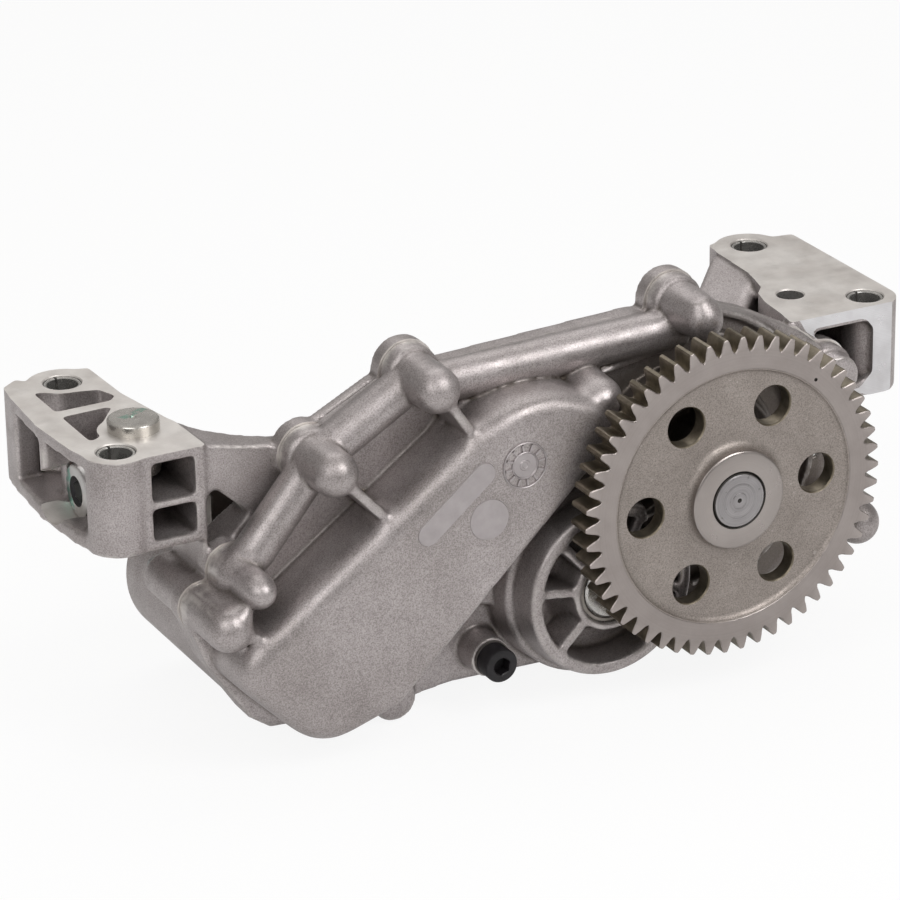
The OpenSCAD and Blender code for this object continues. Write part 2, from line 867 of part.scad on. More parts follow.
module drive_rear_bush() {
    color([0.72, 0.58, 0.40])
        bush(drive, chamber_back_y, rear_bush_len);
}

module driven_front_bush() {
    color([0.72, 0.58, 0.40])
        bush(driven, duct_y + 2, parting_y - duct_y - 2);
}

module driven_rear_bush() {
    color([0.72, 0.58, 0.40])
        bush(driven, chamber_back_y, rear_bush_len);
}

module thrust_washer() {
    color([0.6, 0.55, 0.42])
        across(gear_back_y + gear_back_proud + washer_gap, drive_boss_y)
            translate(drive)
                difference() {
                    circle(hub_r + 1);
                    circle(shaft_r + 0.4);
                }
}

// Flanged hexagon bolts from behind the housing
module cover_bolts() {
    color([0.35, 0.35, 0.36])
        for (k = [0:len(bolts) - 1])
            translate([bolts[k][0], bolt_seat(k), bolts[k][1]])
                rotate([90, 0, 0]) {
                    cylinder(h = bolt_seat(k) - parting_y + bolt_depth(k) - 2, r = bolt_r);
                    translate([0, 0, -1.6])
                        cylinder(h = 1.6, r = head_r);
                    translate([0, 0, -7])
                        cylinder(h = 6, r = head_r - 1, $fn = 6);
                }
}

module cover_dowels() {
    color([0.6, 0.6, 0.6])
        for (d = dowels)
            across(parting_y - dowel_half, parting_y + dowel_half)
                translate(d)
                    difference() {
                        circle(dowel_r);
                        circle(dowel_r - 1.5);
                    }
}

// Split ring dowels pressed into the feet
module mounting_ring_dowels() {
    color([0.6, 0.6, 0.6])
        for (h = foot_holes)
            translate([h[0], h[1], -ring_depth])
                linear_extrude(ring_depth)
                    difference() {
                        circle(foot_hole_d / 2);
                        circle(ring_inner_d / 2);
                        translate([-0.6, 0])
                            square([1.2, foot_hole_d]);
                    }
}

module locating_pin() {
    color([0.7, 0.69, 0.66])
        translate([pin_at[0], pin_at[1], pin_proud])
            rotate_extrude()
                polygon([[1, 0], [pin_d / 2 - 0.8, 0], [pin_d / 2, -0.8], [pin_d / 2, -pin_proud],
                    [pin_shank_r, -pin_proud], [pin_shank_r, -pin_len + 0.8], [pin_shank_r - 0.8, -pin_len],
                    [0, -pin_len], [0, -2.5], [1, -2]]);
}

module relief_plug() {
    color([0.66, 0.65, 0.63])
        difference() {
            union() {
                bar_x(relief_at, relief_flange_r, relief_face_x, relief_face_x + relief_flange_t);
                bar_x(relief_at, relief_thread_r, relief_face_x + 1, relief_face_x + relief_plug_len);
            }
            translate([relief_face_x - 1, relief_at[0], relief_at[1]])
                rotate([0, 90, 0])
                    cylinder(h = 8, r = relief_socket_r, $fn = 6);
        }
}

module relief_plug_seal() {
    color([0.70, 0.45, 0.30])
        difference() {
            bar_x(relief_at, relief_flange_r - 0.6, relief_seat_x - seal_t, relief_seat_x);
            bar_x(relief_at, relief_thread_r, relief_seat_x - seal_t - 1, relief_seat_x + 1);
        }
}

// Coil spring along +Z, from z = 0 to len
module coil(r, wire, len, turns) {
    steps = 16;
    sides = 6;
    last = turns * steps;
    rise = (len - wire) / last;
    rings = [for (k = [0:last], s = [0:sides - 1])
        let (a = k * 360 / steps, b = s * 360 / sides, q = r + wire / 2 * cos(b))
        [q * cos(a), q * sin(a), wire / 2 + rise * k + wire / 2 * sin(b)]];
    walls = [for (k = [0:last - 1], s = [0:sides - 1])
        let (n = (s + 1) % sides)
        [k * sides + s, k * sides + n, (k + 1) * sides + n, (k + 1) * sides + s]];
    near_end = [for (s = [sides - 1:-1:0]) s];
    far_end = [for (s = [0:sides - 1]) last * sides + s];
    polyhedron(points = rings, faces = concat(walls, [near_end, far_end]), convexity = 4);
}

relief_spring_x = relief_face_x + relief_plug_len;
relief_piston_x = relief_end_x - relief_piston_len - 0.5;

module relief_spring() {
    color([0.3, 0.3, 0.32])
        translate([relief_spring_x, relief_at[0], relief_at[1]])
            rotate([0, 90, 0])
                coil(relief_r - 1.6, 2, relief_piston_x - relief_spring_x, relief_coils);
}

module relief_piston() {
    color([0.6, 0.6, 0.58])
        difference() {
            bar_x(relief_at, relief_r, relief_piston_x, relief_piston_x + relief_piston_len);
            bar_x(relief_at, relief_r - 4, relief_piston_x + 3, relief_piston_x + relief_piston_len + 1);
        }
}

module safety_plug() {
    color([0.12, 0.12, 0.13])
        difference() {
            union() {
                turned_y(safety_at, safety_face_y + safety_head_len)
                    polygon([[0, 0], [safety_head_r, 0], [safety_head_r, safety_head_len - 0.8],
                        [safety_head_r - 0.8, safety_head_len], [0, safety_head_len]]);
                bar_y(safety_at, safety_thread_r, safety_face_y + safety_head_len - 1,
                    safety_face_y + safety_plug_len);
            }
            translate([safety_at[0], safety_face_y + 6, safety_at[1]])
                rotate([90, 0, 0])
                    cylinder(h = 8, r = safety_socket_r, $fn = 6);
        }
}

module safety_plug_seal() {
    color([0.65, 0.42, 0.28])
        across(safety_face_y + safety_head_len, safety_seat_y)
            translate(safety_at)
                difference() {
                    circle(safety_head_r + 0.5);
                    circle(safety_thread_r);
                }
}

module safety_spring() {
    spring_y = safety_face_y + safety_plug_len;
    color([0.3, 0.3, 0.32])
        translate([safety_at[0], spring_y, safety_at[1]])
            rotate([-90, 0, 0])
                coil(safety_r - 1.2, 1.4, safety_piston_y - spring_y, safety_coils);
}

module safety_piston() {
    color([0.6, 0.6, 0.58])
        bar_y(safety_at, safety_r, safety_piston_y, safety_piston_y + safety_piston_len);
}

// Pressed caps that close the rear bores
module shaft_end_caps() {
    color([0.55, 0.55, 0.55])
        for (at = [drive, driven])
            bar_y(at, bush_outer_r, hub_back_y - 2.4, hub_back_y - 0.4);
}

rear_housing();
front_cover();
drive_gear();
drive_shaft();
drive_rotor();
driven_shaft();
driven_rotor();
drive_front_bush();
drive_rear_bush();
driven_front_bush();
driven_rear_bush();
thrust_washer();
gear_key();
cover_bolts();
cover_dowels();
mounting_ring_dowels();
locating_pin();
relief_plug();
relief_plug_seal();
relief_spring();
relief_piston();
safety_plug();
safety_plug_seal();
safety_spring();
safety_piston();
shaft_end_caps();
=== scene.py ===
"""Looks of the engine oil pump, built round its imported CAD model.

The castings are grown from their CAD nodes, given cast fillets and then machined again, as the real
ones are. The gear, the fasteners and the small turned parts are built from their own sizes. All sizes
in the classes are millimetres in the row frame: X across the engine, +Y away from the drive gear,
+Z up, origin midway between the two front mounting holes.
"""
import logging
import math
from collections.abc import Callable, Sequence
from dataclasses import dataclass, field
from enum import Enum

import bmesh
import bpy
import numpy as np
from mathutils import Matrix, Vector


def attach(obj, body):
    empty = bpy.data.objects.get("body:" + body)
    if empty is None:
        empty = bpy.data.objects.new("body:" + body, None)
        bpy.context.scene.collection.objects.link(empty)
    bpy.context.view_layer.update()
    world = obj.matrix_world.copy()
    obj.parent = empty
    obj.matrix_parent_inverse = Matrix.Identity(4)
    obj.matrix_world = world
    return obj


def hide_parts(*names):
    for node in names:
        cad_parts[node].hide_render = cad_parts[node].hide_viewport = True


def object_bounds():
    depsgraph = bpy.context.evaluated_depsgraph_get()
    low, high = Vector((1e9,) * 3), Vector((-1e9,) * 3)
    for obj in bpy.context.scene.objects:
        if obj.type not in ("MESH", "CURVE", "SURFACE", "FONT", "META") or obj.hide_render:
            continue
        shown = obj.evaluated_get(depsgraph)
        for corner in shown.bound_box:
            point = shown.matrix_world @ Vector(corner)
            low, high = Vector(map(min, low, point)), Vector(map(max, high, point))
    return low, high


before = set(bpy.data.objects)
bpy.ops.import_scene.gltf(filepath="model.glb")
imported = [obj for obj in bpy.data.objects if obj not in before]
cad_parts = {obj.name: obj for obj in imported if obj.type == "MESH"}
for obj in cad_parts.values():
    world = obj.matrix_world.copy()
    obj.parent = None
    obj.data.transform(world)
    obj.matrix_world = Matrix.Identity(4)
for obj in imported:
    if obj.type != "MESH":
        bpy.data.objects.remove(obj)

LOG = logging.getLogger("oil_pump")
MM = 0.001
CAD_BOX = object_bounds()

Colour = tuple[float, float, float]
Point2 = tuple[float, float]
Point3 = tuple[float, float, float]
Span = tuple[float, float]
Tones = tuple[tuple[float, Colour], ...]
Socket = bpy.types.NodeSocket

WHITE: Colour = (1.0, 1.0, 1.0)
# Values between which most of a noise lies
NOISE_REACH: Span = (0.3, 0.7)
# Sockets of Blender's Map Range and Mix nodes
RANGE_KEYS = ("From Min", "From Max", "To Min", "To Max")
MIX_SHARE, MIX_NUMBERS, MIX_COLOURS = 0, (2, 3), (6, 7)
MIX_RESULT = 2
# Metres within which points are one, or lie on a plane
WELD, RING_WELD, PLANE_SLACK = 1e-6, 2e-6, 4e-6
# Radius below which a turned point lies on its axis
ON_AXIS = 1e-6
# Millimetres beyond every casting, and how far a plane's cutter reaches past the metal
FAR = 400.0
OVERRUN = 20.0


class Body(Enum):
    """Bodies of the CAD model that the finished pieces move with."""

    PUMP = "pump_body"
    DRIVE = "drive_train"


class Axis(Enum):
    """Direction that a turned part or a machined face lies along."""

    X = 0
    Y = 1
    Z = 2


class Cut(Enum):
    """Which way a machined face looks along its axis."""

    UP = 1
    DOWN = -1


@dataclass(frozen=True)
class Layout:
    """Places that several parts of the pump share."""

    front_spacing: float = 385.5
    rear_spacing: float = 362.7
    row_pitch: float = 86.7
    drive: Point2 = (77.4, -51.5)
    driven: Point2 = (24.428, -93.335)
    parting_y: float = -13.8
    duct_y: float = -55.8
    gear_y: float = -73.8
    gear_w: float = 14.0
    bush_outer_r: float = 15.55
    shaft_r: float = 13.5

    @property
    def gear_back_y(self) -> float:
        """The plane of the gear's rear face."""
        return self.gear_y + self.gear_w

    @property
    def foot_holes(self) -> list[Point2]:
        """The four mounting holes as (x, y)."""
        front, rear = self.front_spacing / 2, self.rear_spacing / 2
        return [(-front, 0.0), (front, 0.0), (-rear, self.row_pitch), (rear, self.row_pitch)]


LAYOUT = Layout()


def polar(radius: float, degrees: float) -> Point2:
    """A point at a radius and an angle, as (across, up)."""
    turn = math.radians(degrees)
    return radius * math.cos(turn), radius * math.sin(turn)


@dataclass(frozen=True)
class Grain:
    """A noise over the surface: cells to a metre, octaves and the weight of the finer ones."""

    scale: float
    octaves: float = 3.0
    weight: float = 0.55


class ShaderSheet:
    """A material's node tree with short calls for what the finishes share."""

    def __init__(self, name: str) -> None:
        """Starts a material that has only its Principled shader.

        Args:
            name: Name of the material.
        """
        self.material = bpy.data.materials.new(name)
        self.material.use_nodes = True
        self.nodes = self.material.node_tree.nodes
        self.links = self.material.node_tree.links
        self.shader = self.nodes["Principled BSDF"]
        self.place = self.nodes.new("ShaderNodeTexCoord").outputs["Object"]

    def set(self, **values: float | Colour) -> None:
        """Sets constant values on the shader's own sockets.

        Args:
            values: Socket names with underscores for spaces, and their values.
        """
        for name, value in values.items():
            socket = self.shader.inputs[name.replace("_", " ")]
            socket.default_value = (*value, 1.0) if isinstance(value, tuple) else value

    def feed(self, name: str, output: Socket) -> None:
        """Links an output to one of the shader's sockets."""
        self.links.new(output, self.shader.inputs[name])

    def math(self, kind: str, a: object, b: object) -> Socket:
        """Adds a Math node.

        Args:
            kind: Operation of the node.
            a: Number or socket of the first input.
            b: Number or socket of the second input.

        Returns:
            The node's output.
        """
        node = self.nodes.new("ShaderNodeMath")
        node.operation = kind
        for slot, value in zip(node.inputs, (a, b)):
            if isinstance(value, (int, float)):
                slot.default_value = value
            else:
                self.links.new(value, slot)
        return node.outputs[0]

    def noise(self, grain: Grain) -> Socket:
        """Adds a noise over the object's own coordinates.

        Args:
            grain: Sizes of the noise.

        Returns:
            The noise's value, about 0.5 on average.
        """
        node = self.nodes.new("ShaderNodeTexNoise")
        node.inputs["Scale"].default_value = grain.scale
        node.inputs["Detail"].default_value = grain.octaves
        node.inputs["Roughness"].default_value = grain.weight
        self.links.new(self.place, node.inputs["Vector"])
        return node.outputs["Fac"]

    def line_noise(self, along: Socket, scale: float, octaves: float) -> Socket:
        """Adds a noise that varies along one value only, for turned or milled lines.

        Args:
            along: The value that it follows.
            scale: Lines to a metre.
            octaves: Octaves of the noise.

        Returns:
            The noise's value.
        """
        node = self.nodes.new("ShaderNodeTexNoise")
        node.noise_dimensions = "1D"
        node.inputs["Scale"].default_value = scale
        node.inputs["Detail"].default_value = octaves
        self.links.new(along, node.inputs["W"])
        return node.outputs["Fac"]

    def axes(self) -> tuple[Socket, Socket, Socket]:
        """Splits the object's coordinates.

        Returns:
            X, Y and Z in metres.
        """
        node = self.nodes.new("ShaderNodeSeparateXYZ")
        self.links.new(self.place, node.inputs[0])
        return node.outputs[0], node.outputs[1], node.outputs[2]

    def distance(self, across: Socket, up: Socket, centre: Point2) -> Socket:
        """Measures how far a place lies from a line along Y.

        Args:
            across: The place's X.
            up: The place's Z.
            centre: The line's X and Z in millimetres.

        Returns:
            The distance in metres.
        """
        a = self.math("SUBTRACT", across, centre[0] * MM)
        b = self.math("SUBTRACT", up, centre[1] * MM)
        squares = self.math("ADD", self.math("MULTIPLY", a, a), self.math("MULTIPLY", b, b))
        return self.math("SQRT", squares, 0.0)

    def ramp(self, value: Socket, stops: Tones) -> Socket:
        """Adds a colour ramp.

        Args:
            value: What the ramp reads.
            stops: Places and colours, from low to high.

        Returns:
            The ramp's colour.
        """
        node = self.nodes.new("ShaderNodeValToRGB")
        elements = node.color_ramp.elements
        while len(elements) < len(stops):
            elements.new(0.5)
        for element, (place, colour) in zip(elements, stops):
            element.position = place
            element.color = (*colour, 1.0)
        self.links.new(value, node.inputs[0])
        return node.outputs[0]

    def span(self, value: Socket, low: float, high: float, to_low: float = 0.0,
             to_high: float = 1.0) -> Socket:
        """Maps a range of a value to another range, clamped at its ends.

        Args:
            value: The value.
            low: Where its range starts.
            high: Where its range ends, which may lie below the start.
            to_low: Result at the start.
            to_high: Result at the end.

        Returns:
            The mapped value.
        """
        node = self.nodes.new("ShaderNodeMapRange")
        for key, number in zip(RANGE_KEYS, (low, high, to_low, to_high)):
            node.inputs[key].default_value = number
        self.links.new(value, node.inputs["Value"])
        return node.outputs[0]

    def mix(self, share: object, a: object, b: object, blend: str = "MIX") -> Socket:
        """Mixes two colours.

        Args:
            share: Number or socket of how much of b shows.
            a: First colour or socket.
            b: Second colour or socket.
            blend: Blend mode of the node.

        Returns:
            The mixed colour.
        """
        node = self.nodes.new("ShaderNodeMix")
        node.data_type = "RGBA"
        node.blend_type = blend
        for index, value in zip((MIX_SHARE, *MIX_COLOURS), (share, a, b)):
            slot = node.inputs[index]
            if isinstance(value, (int, float)):
                slot.default_value = value
            elif isinstance(value, tuple):
                slot.default_value = (*value, 1.0)
            else:
                self.links.new(value, slot)
        return node.outputs[MIX_RESULT]

    def pointiness(self) -> Socket:
        """How convex the surface is, 0.5 where it is flat."""
        return self.nodes.new("ShaderNodeNewGeometry").outputs["Pointiness"]

    def bump(self, height: Socket, strength: float, depth: float, under: Socket | None = None) -> Socket:
        """Adds a bump.

        Args:
            height: Height field.
            strength: Share of the bump that shows.
            depth: Depth in millimetres from the field's 0 to its 1.
            under: Normal that the bump lies on.

        Returns:
            The bumped normal.
        """
        node = self.nodes.new("ShaderNodeBump")
        node.inputs["Strength"].default_value = strength
        node.inputs["Distance"].default_value = depth * MM
        self.links.new(height, node.inputs["Height"])
        if under is not None:
            self.links.new(under, node.inputs["Normal"])
        return node.outputs[0]

    def gloss(self, grain: Grain, low: float, high: float, reach: Span = NOISE_REACH) -> None:
        """Lets the roughness wander between two values.

        Args:
            grain: Noise that it follows.
            low: Lowest roughness.
            high: Highest roughness.
            reach: The noise's values at which the two are reached.
        """
        self.feed("Roughness", self.span(self.noise(grain), *reach, low, high))


@dataclass(frozen=True)
class Shade:
    """Round patch of painted shade on the faces that lie between two planes across Y."""

    centre: Point2
    full_r: float
    fade_r: float
    front_y: float
    back_y: float
    strength: float = 0.85
    front_fade: float = 4.0
    back_fade: float = 2.0

    def mask(self, sheet: ShaderSheet) -> Socket:
        """How much of the painted shade shows at a place.

        Args:
            sheet: The finish's open nodes.

        Returns:
            The mask, from 0 to the strength.
        """
        x, y, z = sheet.axes()
        away = sheet.distance(x, z, self.centre)
        near = sheet.span(away, self.fade_r * MM, self.full_r * MM, 0.0, self.strength)
        front = sheet.span(y, (self.front_y - self.front_fade) * MM, self.front_y * MM)
        back = sheet.span(y, self.back_y * MM, (self.back_y - self.back_fade) * MM)
        return sheet.math("MULTIPLY", near, sheet.math("MULTIPLY", front, back))


@dataclass(frozen=True)
class CastFinish:
    """Blasted cast metal: fine grain, soft blotches, round patches of painted shade, painted shade with some
    dirt in the hollows, and lighter edges that are partly wear and partly a painted highlight.

    A reach or a curve gives the values at which a tone or a mask starts and is full.
    """

    name: str
    pale: Colour
    dark: Colour
    # The next tone darkens the painted shade patches and the hollows (painted shade with some dirt); the one
    # after it lightens the edges, partly wear and partly a painted highlight.
    shade_tone: Colour
    wear_and_highlight: Colour
    metallic: float = 0.8
    ior: float = 1.45
    rough_low: float = 0.36
    rough_high: float = 0.52
    shades: tuple[Shade, ...] = ()
    blotches: Grain = Grain(24.0, 5.0, 0.6)
    blotch_reach: Span = (0.34, 0.66)
    blast: Grain = Grain(1500.0, 2.0, 0.6)
    blast_depth: float = 0.11
    fleck_tones: Tones = ((0.32, (0.5, 0.49, 0.48)), (0.50, WHITE), (0.70, (1.42, 1.42, 1.44)))
    fleck_share: float = 0.62
    mottle: Grain = Grain(360.0, 4.0, 0.7)
    mottle_tones: Tones = ((0.32, (0.8, 0.79, 0.78)), (0.68, (1.12, 1.12, 1.13)))
    mottle_share: float = 0.35
    hollow_shade_curve: Span = (0.497, 0.452)
    wear_and_highlight_curve: Span = (0.515, 0.56)
    rub: Grain = Grain(160.0)
    rub_reach: Span = (0.36, 0.6)
    gloss: Grain = Grain(90.0, 4.0)
    gloss_reach: Span = (0.35, 0.65)
    skin: Grain = Grain(210.0, 3.0, 0.5)
    skin_depth: float = 0.09

    def material(self) -> bpy.types.Material:
        """Builds the finish's material.

        Returns:
            The material.
        """
        sheet = ShaderSheet(self.name)
        low, high = self.blotch_reach
        blotches = sheet.noise(self.blotches)
        blast = sheet.noise(self.blast)
        tone = sheet.ramp(blotches, ((low, self.dark), (high, self.pale)))
        tone = sheet.mix(self.fleck_share, tone, sheet.ramp(blast, self.fleck_tones), "MULTIPLY")
        mottle = sheet.ramp(sheet.noise(self.mottle), self.mottle_tones)
        tone = sheet.mix(self.mottle_share, tone, mottle, "MULTIPLY")
        # Painted shade: round patches that darken the faces behind the drive gear and inside the left arm's
        # hole.
        for shade in self.shades:
            tone = sheet.mix(shade.mask(sheet), tone, self.shade_tone)
        # Painted shade, with some dirt, darkens the concave hollows.
        curve = sheet.pointiness()
        tone = sheet.mix(sheet.span(curve, *self.hollow_shade_curve), tone, self.shade_tone)
        # Lighter convex edges, broken up by a noise: partly wear, partly a painted highlight.
        rub = sheet.span(sheet.noise(self.rub), *self.rub_reach)
        tone = sheet.mix(sheet.math("MULTIPLY", sheet.span(curve, *self.wear_and_highlight_curve), rub), tone, self.wear_and_highlight)
        sheet.feed("Base Color", tone)
        sheet.set(Metallic=self.metallic, IOR=self.ior)
        sheet.gloss(self.gloss, self.rough_low, self.rough_high, self.gloss_reach)
        skin = sheet.bump(sheet.noise(self.skin), strength=0.6, depth=self.skin_depth)
        sheet.feed("Normal", sheet.bump(blast, strength=0.8, depth=self.blast_depth, under=skin))
        return sheet.material


@dataclass(frozen=True)
class MilledFinish:
    """Milled face: bright, with fine cutter lines at an angle and a few duller patches."""

    name: str
    pale: Colour
    dark: Colour
    rough_low: float = 0.26
    rough_high: float = 0.4
    metallic: float = 0.9
    line_angle: float = 24.0
    line_scale: float = 2600.0
    line_octaves: float = 3.0
    line_tones: Tones = ((0.3, (0.9, 0.9, 0.9)), (0.7, (1.05, 1.05, 1.05)))
    line_share: float = 0.5
    line_depth: float = 0.006
    patches: Grain = Grain(38.0, 4.0, 0.6)
    patch_reach: Span = (0.32, 0.6)
    gloss: Grain = Grain(120.0, 4.0)

    def material(self) -> bpy.types.Material:
        """Builds the finish's material.

        Returns:
            The material.
        """
        sheet = ShaderSheet(self.name)
        x, y, z = sheet.axes()
        c, s = polar(1.0, self.line_angle)
        slant = sheet.math("MULTIPLY", sheet.math("ADD", y, z), s)
        along = sheet.math("ADD", sheet.math("MULTIPLY", x, c), slant)
        lines = sheet.line_noise(along, self.line_scale, self.line_octaves)
        low, high = self.patch_reach
        tone = sheet.ramp(sheet.noise(self.patches), ((low, self.dark), (high, self.pale)))
        lined = sheet.ramp(lines, self.line_tones)
        sheet.feed("Base Color", sheet.mix(self.line_share, tone, lined, "MULTIPLY"))
        sheet.set(Metallic=self.metallic)
        sheet.gloss(self.gloss, self.rough_low, self.rough_high)
        sheet.feed("Normal", sheet.bump(lines, strength=0.5, depth=self.line_depth))
        return sheet.material


@dataclass(frozen=True)
class TurnedFinish:
    """Face turned about an axis along Y: rings of uneven tool marks round one centre, and a painted highlight
    on its convex edges.

    A reach or a curve gives the values at which a tone or a mask starts and is full.
    """

    name: str
    pale: Colour
    dark: Colour
    centre: Point2
    metallic: float = 0.9
    rough_low: float = 0.3
    rough_high: float = 0.45
    patches: Grain = Grain(42.0, 5.0, 0.62)
    patch_reach: Span = (0.33, 0.64)
    ring_scale: float = 1500.0
    ring_octaves: float = 3.0
    ring_tones: Tones = ((0.28, (0.82, 0.82, 0.82)), (0.72, (1.1, 1.1, 1.1)))
    ring_depth: float = 0.012
    ring_share: float = 0.5
    blast: Grain = Grain(1500.0, 2.0, 0.6)
    blast_depth: float = 0.0
    fleck_tones: Tones = ((0.3, (0.58, 0.56, 0.54)), (0.5, WHITE), (0.72, (1.32, 1.31, 1.3)))
    fleck_share: float = 0.0
    spot: Colour | None = None
    spots: Grain = Grain(520.0, 2.0, 0.5)
    spot_reach: Span = (0.66, 0.74)
    spot_share: float = 0.6
    edge_highlight_curve: Span = (0.53, 0.6)
    edge_highlight_share: float = 0.7
    edge_highlight_gain: float = 1.35
    gloss: Grain = Grain(150.0, 4.0)

    def material(self) -> bpy.types.Material:
        """Builds the finish's material.

        Returns:
            The material.
        """
        sheet = ShaderSheet(self.name)
        x, _, z = sheet.axes()
        rings = sheet.line_noise(sheet.distance(x, z, self.centre), self.ring_scale, self.ring_octaves)
        low, high = self.patch_reach
        tone = sheet.ramp(sheet.noise(self.patches), ((low, self.dark), (high, self.pale)))
        tone = sheet.mix(self.ring_share, tone, sheet.ramp(rings, self.ring_tones), "MULTIPLY")
        if self.fleck_share > 0:
            fleck = sheet.ramp(sheet.noise(self.blast), self.fleck_tones)
            tone = sheet.mix(self.fleck_share, tone, fleck, "MULTIPLY")
        if self.spot is not None:
            specks = sheet.span(sheet.noise(self.spots), *self.spot_reach)
            tone = sheet.mix(sheet.math("MULTIPLY", specks, self.spot_share), tone, self.spot)
        # Painted highlight: convex edges are lighter than the face.
        edge = sheet.math("MULTIPLY", sheet.span(sheet.pointiness(), *self.edge_highlight_curve), self.edge_highlight_share)
        tone = sheet.mix(edge, tone, tuple(min(1.0, v * self.edge_highlight_gain) for v in self.pale))
        sheet.feed("Base Color", tone)
        sheet.set(Metallic=self.metallic)
        sheet.gloss(self.gloss, self.rough_low, self.rough_high)
        normal = sheet.bump(rings, strength=0.6, depth=self.ring_depth)
        if self.blast_depth > 0:
            blast = sheet.noise(self.blast)
            normal = sheet.bump(blast, strength=0.8, depth=self.blast_depth, under=normal)
        sheet.feed("Normal", normal)
        return sheet.material


@dataclass(frozen=True)
class PlainFinish:
    """Small metal part: one metal with soft blotches and a fine grain."""

    name: str
    pale: Colour
    dark: Colour
    metallic: float = 0.9
    rough_low: float = 0.28
    rough_high: float = 0.45
    blotches: Grain = Grain(140.0, 4.0, 0.6)
    blotch_reach: Span = (0.35, 0.65)
    gloss: Grain = Grain(260.0)
    skin: Grain = Grain(900.0, 2.0)
    skin_depth: float = 0.01

    def sheet(self) -> ShaderSheet:
        """Builds the finish's nodes, open to further ones.

        Returns:
            The material's sheet.
        """
        sheet = ShaderSheet(self.name)
        low, high = self.blotch_reach
        tone = sheet.ramp(sheet.noise(self.blotches), ((low, self.dark), (high, self.pale)))
        sheet.feed("Base Color", tone)
        sheet.set(Metallic=self.metallic)
        sheet.gloss(self.gloss, self.rough_low, self.rough_high)
        sheet.feed("Normal", sheet.bump(sheet.noise(self.skin), strength=0.7, depth=self.skin_depth))
        return sheet

    def material(self) -> bpy.types.Material:
        """Builds the finish's material."""
        return self.sheet().material


@dataclass(frozen=True)
class PaintMark:
    """Streak of marking paint over another finish, with a ragged, worn edge."""

    colour: Colour
    centre: Point3
    along: Point3
    across: Point3
    half_length: float
    half_width: float
    strength: float
    ragged: Grain = Grain(300.0)
    ragged_by: float = 0.8
    side_fade: float = 0.5
    end_fade: float = 0.8
    wear: Grain = Grain(420.0)
    wear_reach: Span = (0.34, 0.55)

    def over(self, sheet: ShaderSheet) -> None:
        """Adds the streak to a finish's base colour.

        Args:
            sheet: The finish's open nodes.
        """
        place = sheet.axes()

        def measured(direction: Point3) -> Socket:
            """Measures how far a place lies from the streak's middle along a direction.

            Args:
                direction: The direction, of length 1.

            Returns:
                The distance in metres.
            """
            total = None
            for value, centre, share in zip(place, self.centre, direction):
                part = sheet.math("MULTIPLY", sheet.math("SUBTRACT", value, centre * MM), share)
                total = part if total is None else sheet.math("ADD", total, part)
            return sheet.math("ABSOLUTE", total, 0.0)

        ragged = sheet.span(sheet.noise(self.ragged), *NOISE_REACH, -self.ragged_by * MM, self.ragged_by * MM)
        side = sheet.math("ADD", measured(self.across), ragged)
        end = sheet.math("ADD", measured(self.along), ragged)
        within = sheet.span(side, self.half_width * MM, (self.half_width - self.side_fade) * MM)
        before = sheet.span(end, self.half_length * MM, (self.half_length - self.end_fade) * MM)
        mask = sheet.math("MULTIPLY", within, before)
        mask = sheet.math("MULTIPLY", mask, sheet.span(sheet.noise(self.wear), *self.wear_reach))
        base = sheet.shader.inputs["Base Color"].links[0].from_socket
        sheet.feed("Base Color", sheet.mix(sheet.math("MULTIPLY", mask, self.strength), base, self.colour))


# The pump's finishes
# The cast finish's two shade patches are painted shade: one behind the drive gear, one inside the left arm's
# hole.
CAST = CastFinish("cast_aluminium", pale=(0.43, 0.395, 0.392), dark=(0.345, 0.314, 0.307),
                  shade_tone=(0.10, 0.084, 0.07), wear_and_highlight=(0.64, 0.61, 0.585),
                  shades=(Shade((86.0, -64.0), 68.0, 88.0, -50.0, -5.0),
                          Shade((-128.0, -54.0), 20.0, 30.0, 17.0, 39.0, 0.9)))
PAD = PlainFinish("smooth_cast_pad", pale=(0.42, 0.388, 0.392), dark=(0.375, 0.346, 0.348), metallic=0.8,
                  rough_low=0.4, rough_high=0.5)
MILLED = MilledFinish("milled_aluminium", pale=(0.75, 0.72, 0.69), dark=(0.60, 0.565, 0.535), rough_low=0.4,
                      rough_high=0.54)
MILLED_FACE = MilledFinish("milled_front_face", pale=(0.69, 0.685, 0.70), dark=(0.56, 0.55, 0.56),
                           line_angle=66.0)
BORED = PlainFinish("bored_aluminium", pale=(0.60, 0.585, 0.57), dark=(0.50, 0.485, 0.47), rough_low=0.24,
                    rough_high=0.36)
RIM = TurnedFinish("turned_gear_rim", pale=(0.34, 0.305, 0.29), dark=(0.295, 0.262, 0.248),
                   centre=LAYOUT.drive, ring_scale=900.0, ring_share=0.25, ring_depth=0.006, rough_low=0.34,
                   rough_high=0.44)
WEB = TurnedFinish("blasted_gear_web", pale=(0.32, 0.285, 0.262), dark=(0.265, 0.235, 0.215),
                   centre=LAYOUT.drive, metallic=0.8, rough_low=0.42, rough_high=0.56, ring_share=0.1,
                   ring_depth=0.003, blast_depth=0.10, spot=(0.46, 0.42, 0.39), fleck_share=0.75)
HUB = TurnedFinish("ground_hub", pale=(0.325, 0.295, 0.28), dark=(0.29, 0.262, 0.248), centre=LAYOUT.drive,
                   rough_low=0.26, rough_high=0.36, ring_share=0.12, ring_depth=0.002)
FLANK = PlainFinish("tooth_flank", pale=(0.255, 0.222, 0.172), dark=(0.15, 0.128, 0.095), rough_low=0.3,
                    rough_high=0.46)
SHAFT_END = TurnedFinish("turned_shaft_end", pale=(0.33, 0.315, 0.318), dark=(0.275, 0.262, 0.265),
                         centre=LAYOUT.drive, ring_scale=1100.0, ring_depth=0.03, ring_share=0.8,
                         spot=(0.10, 0.092, 0.09))
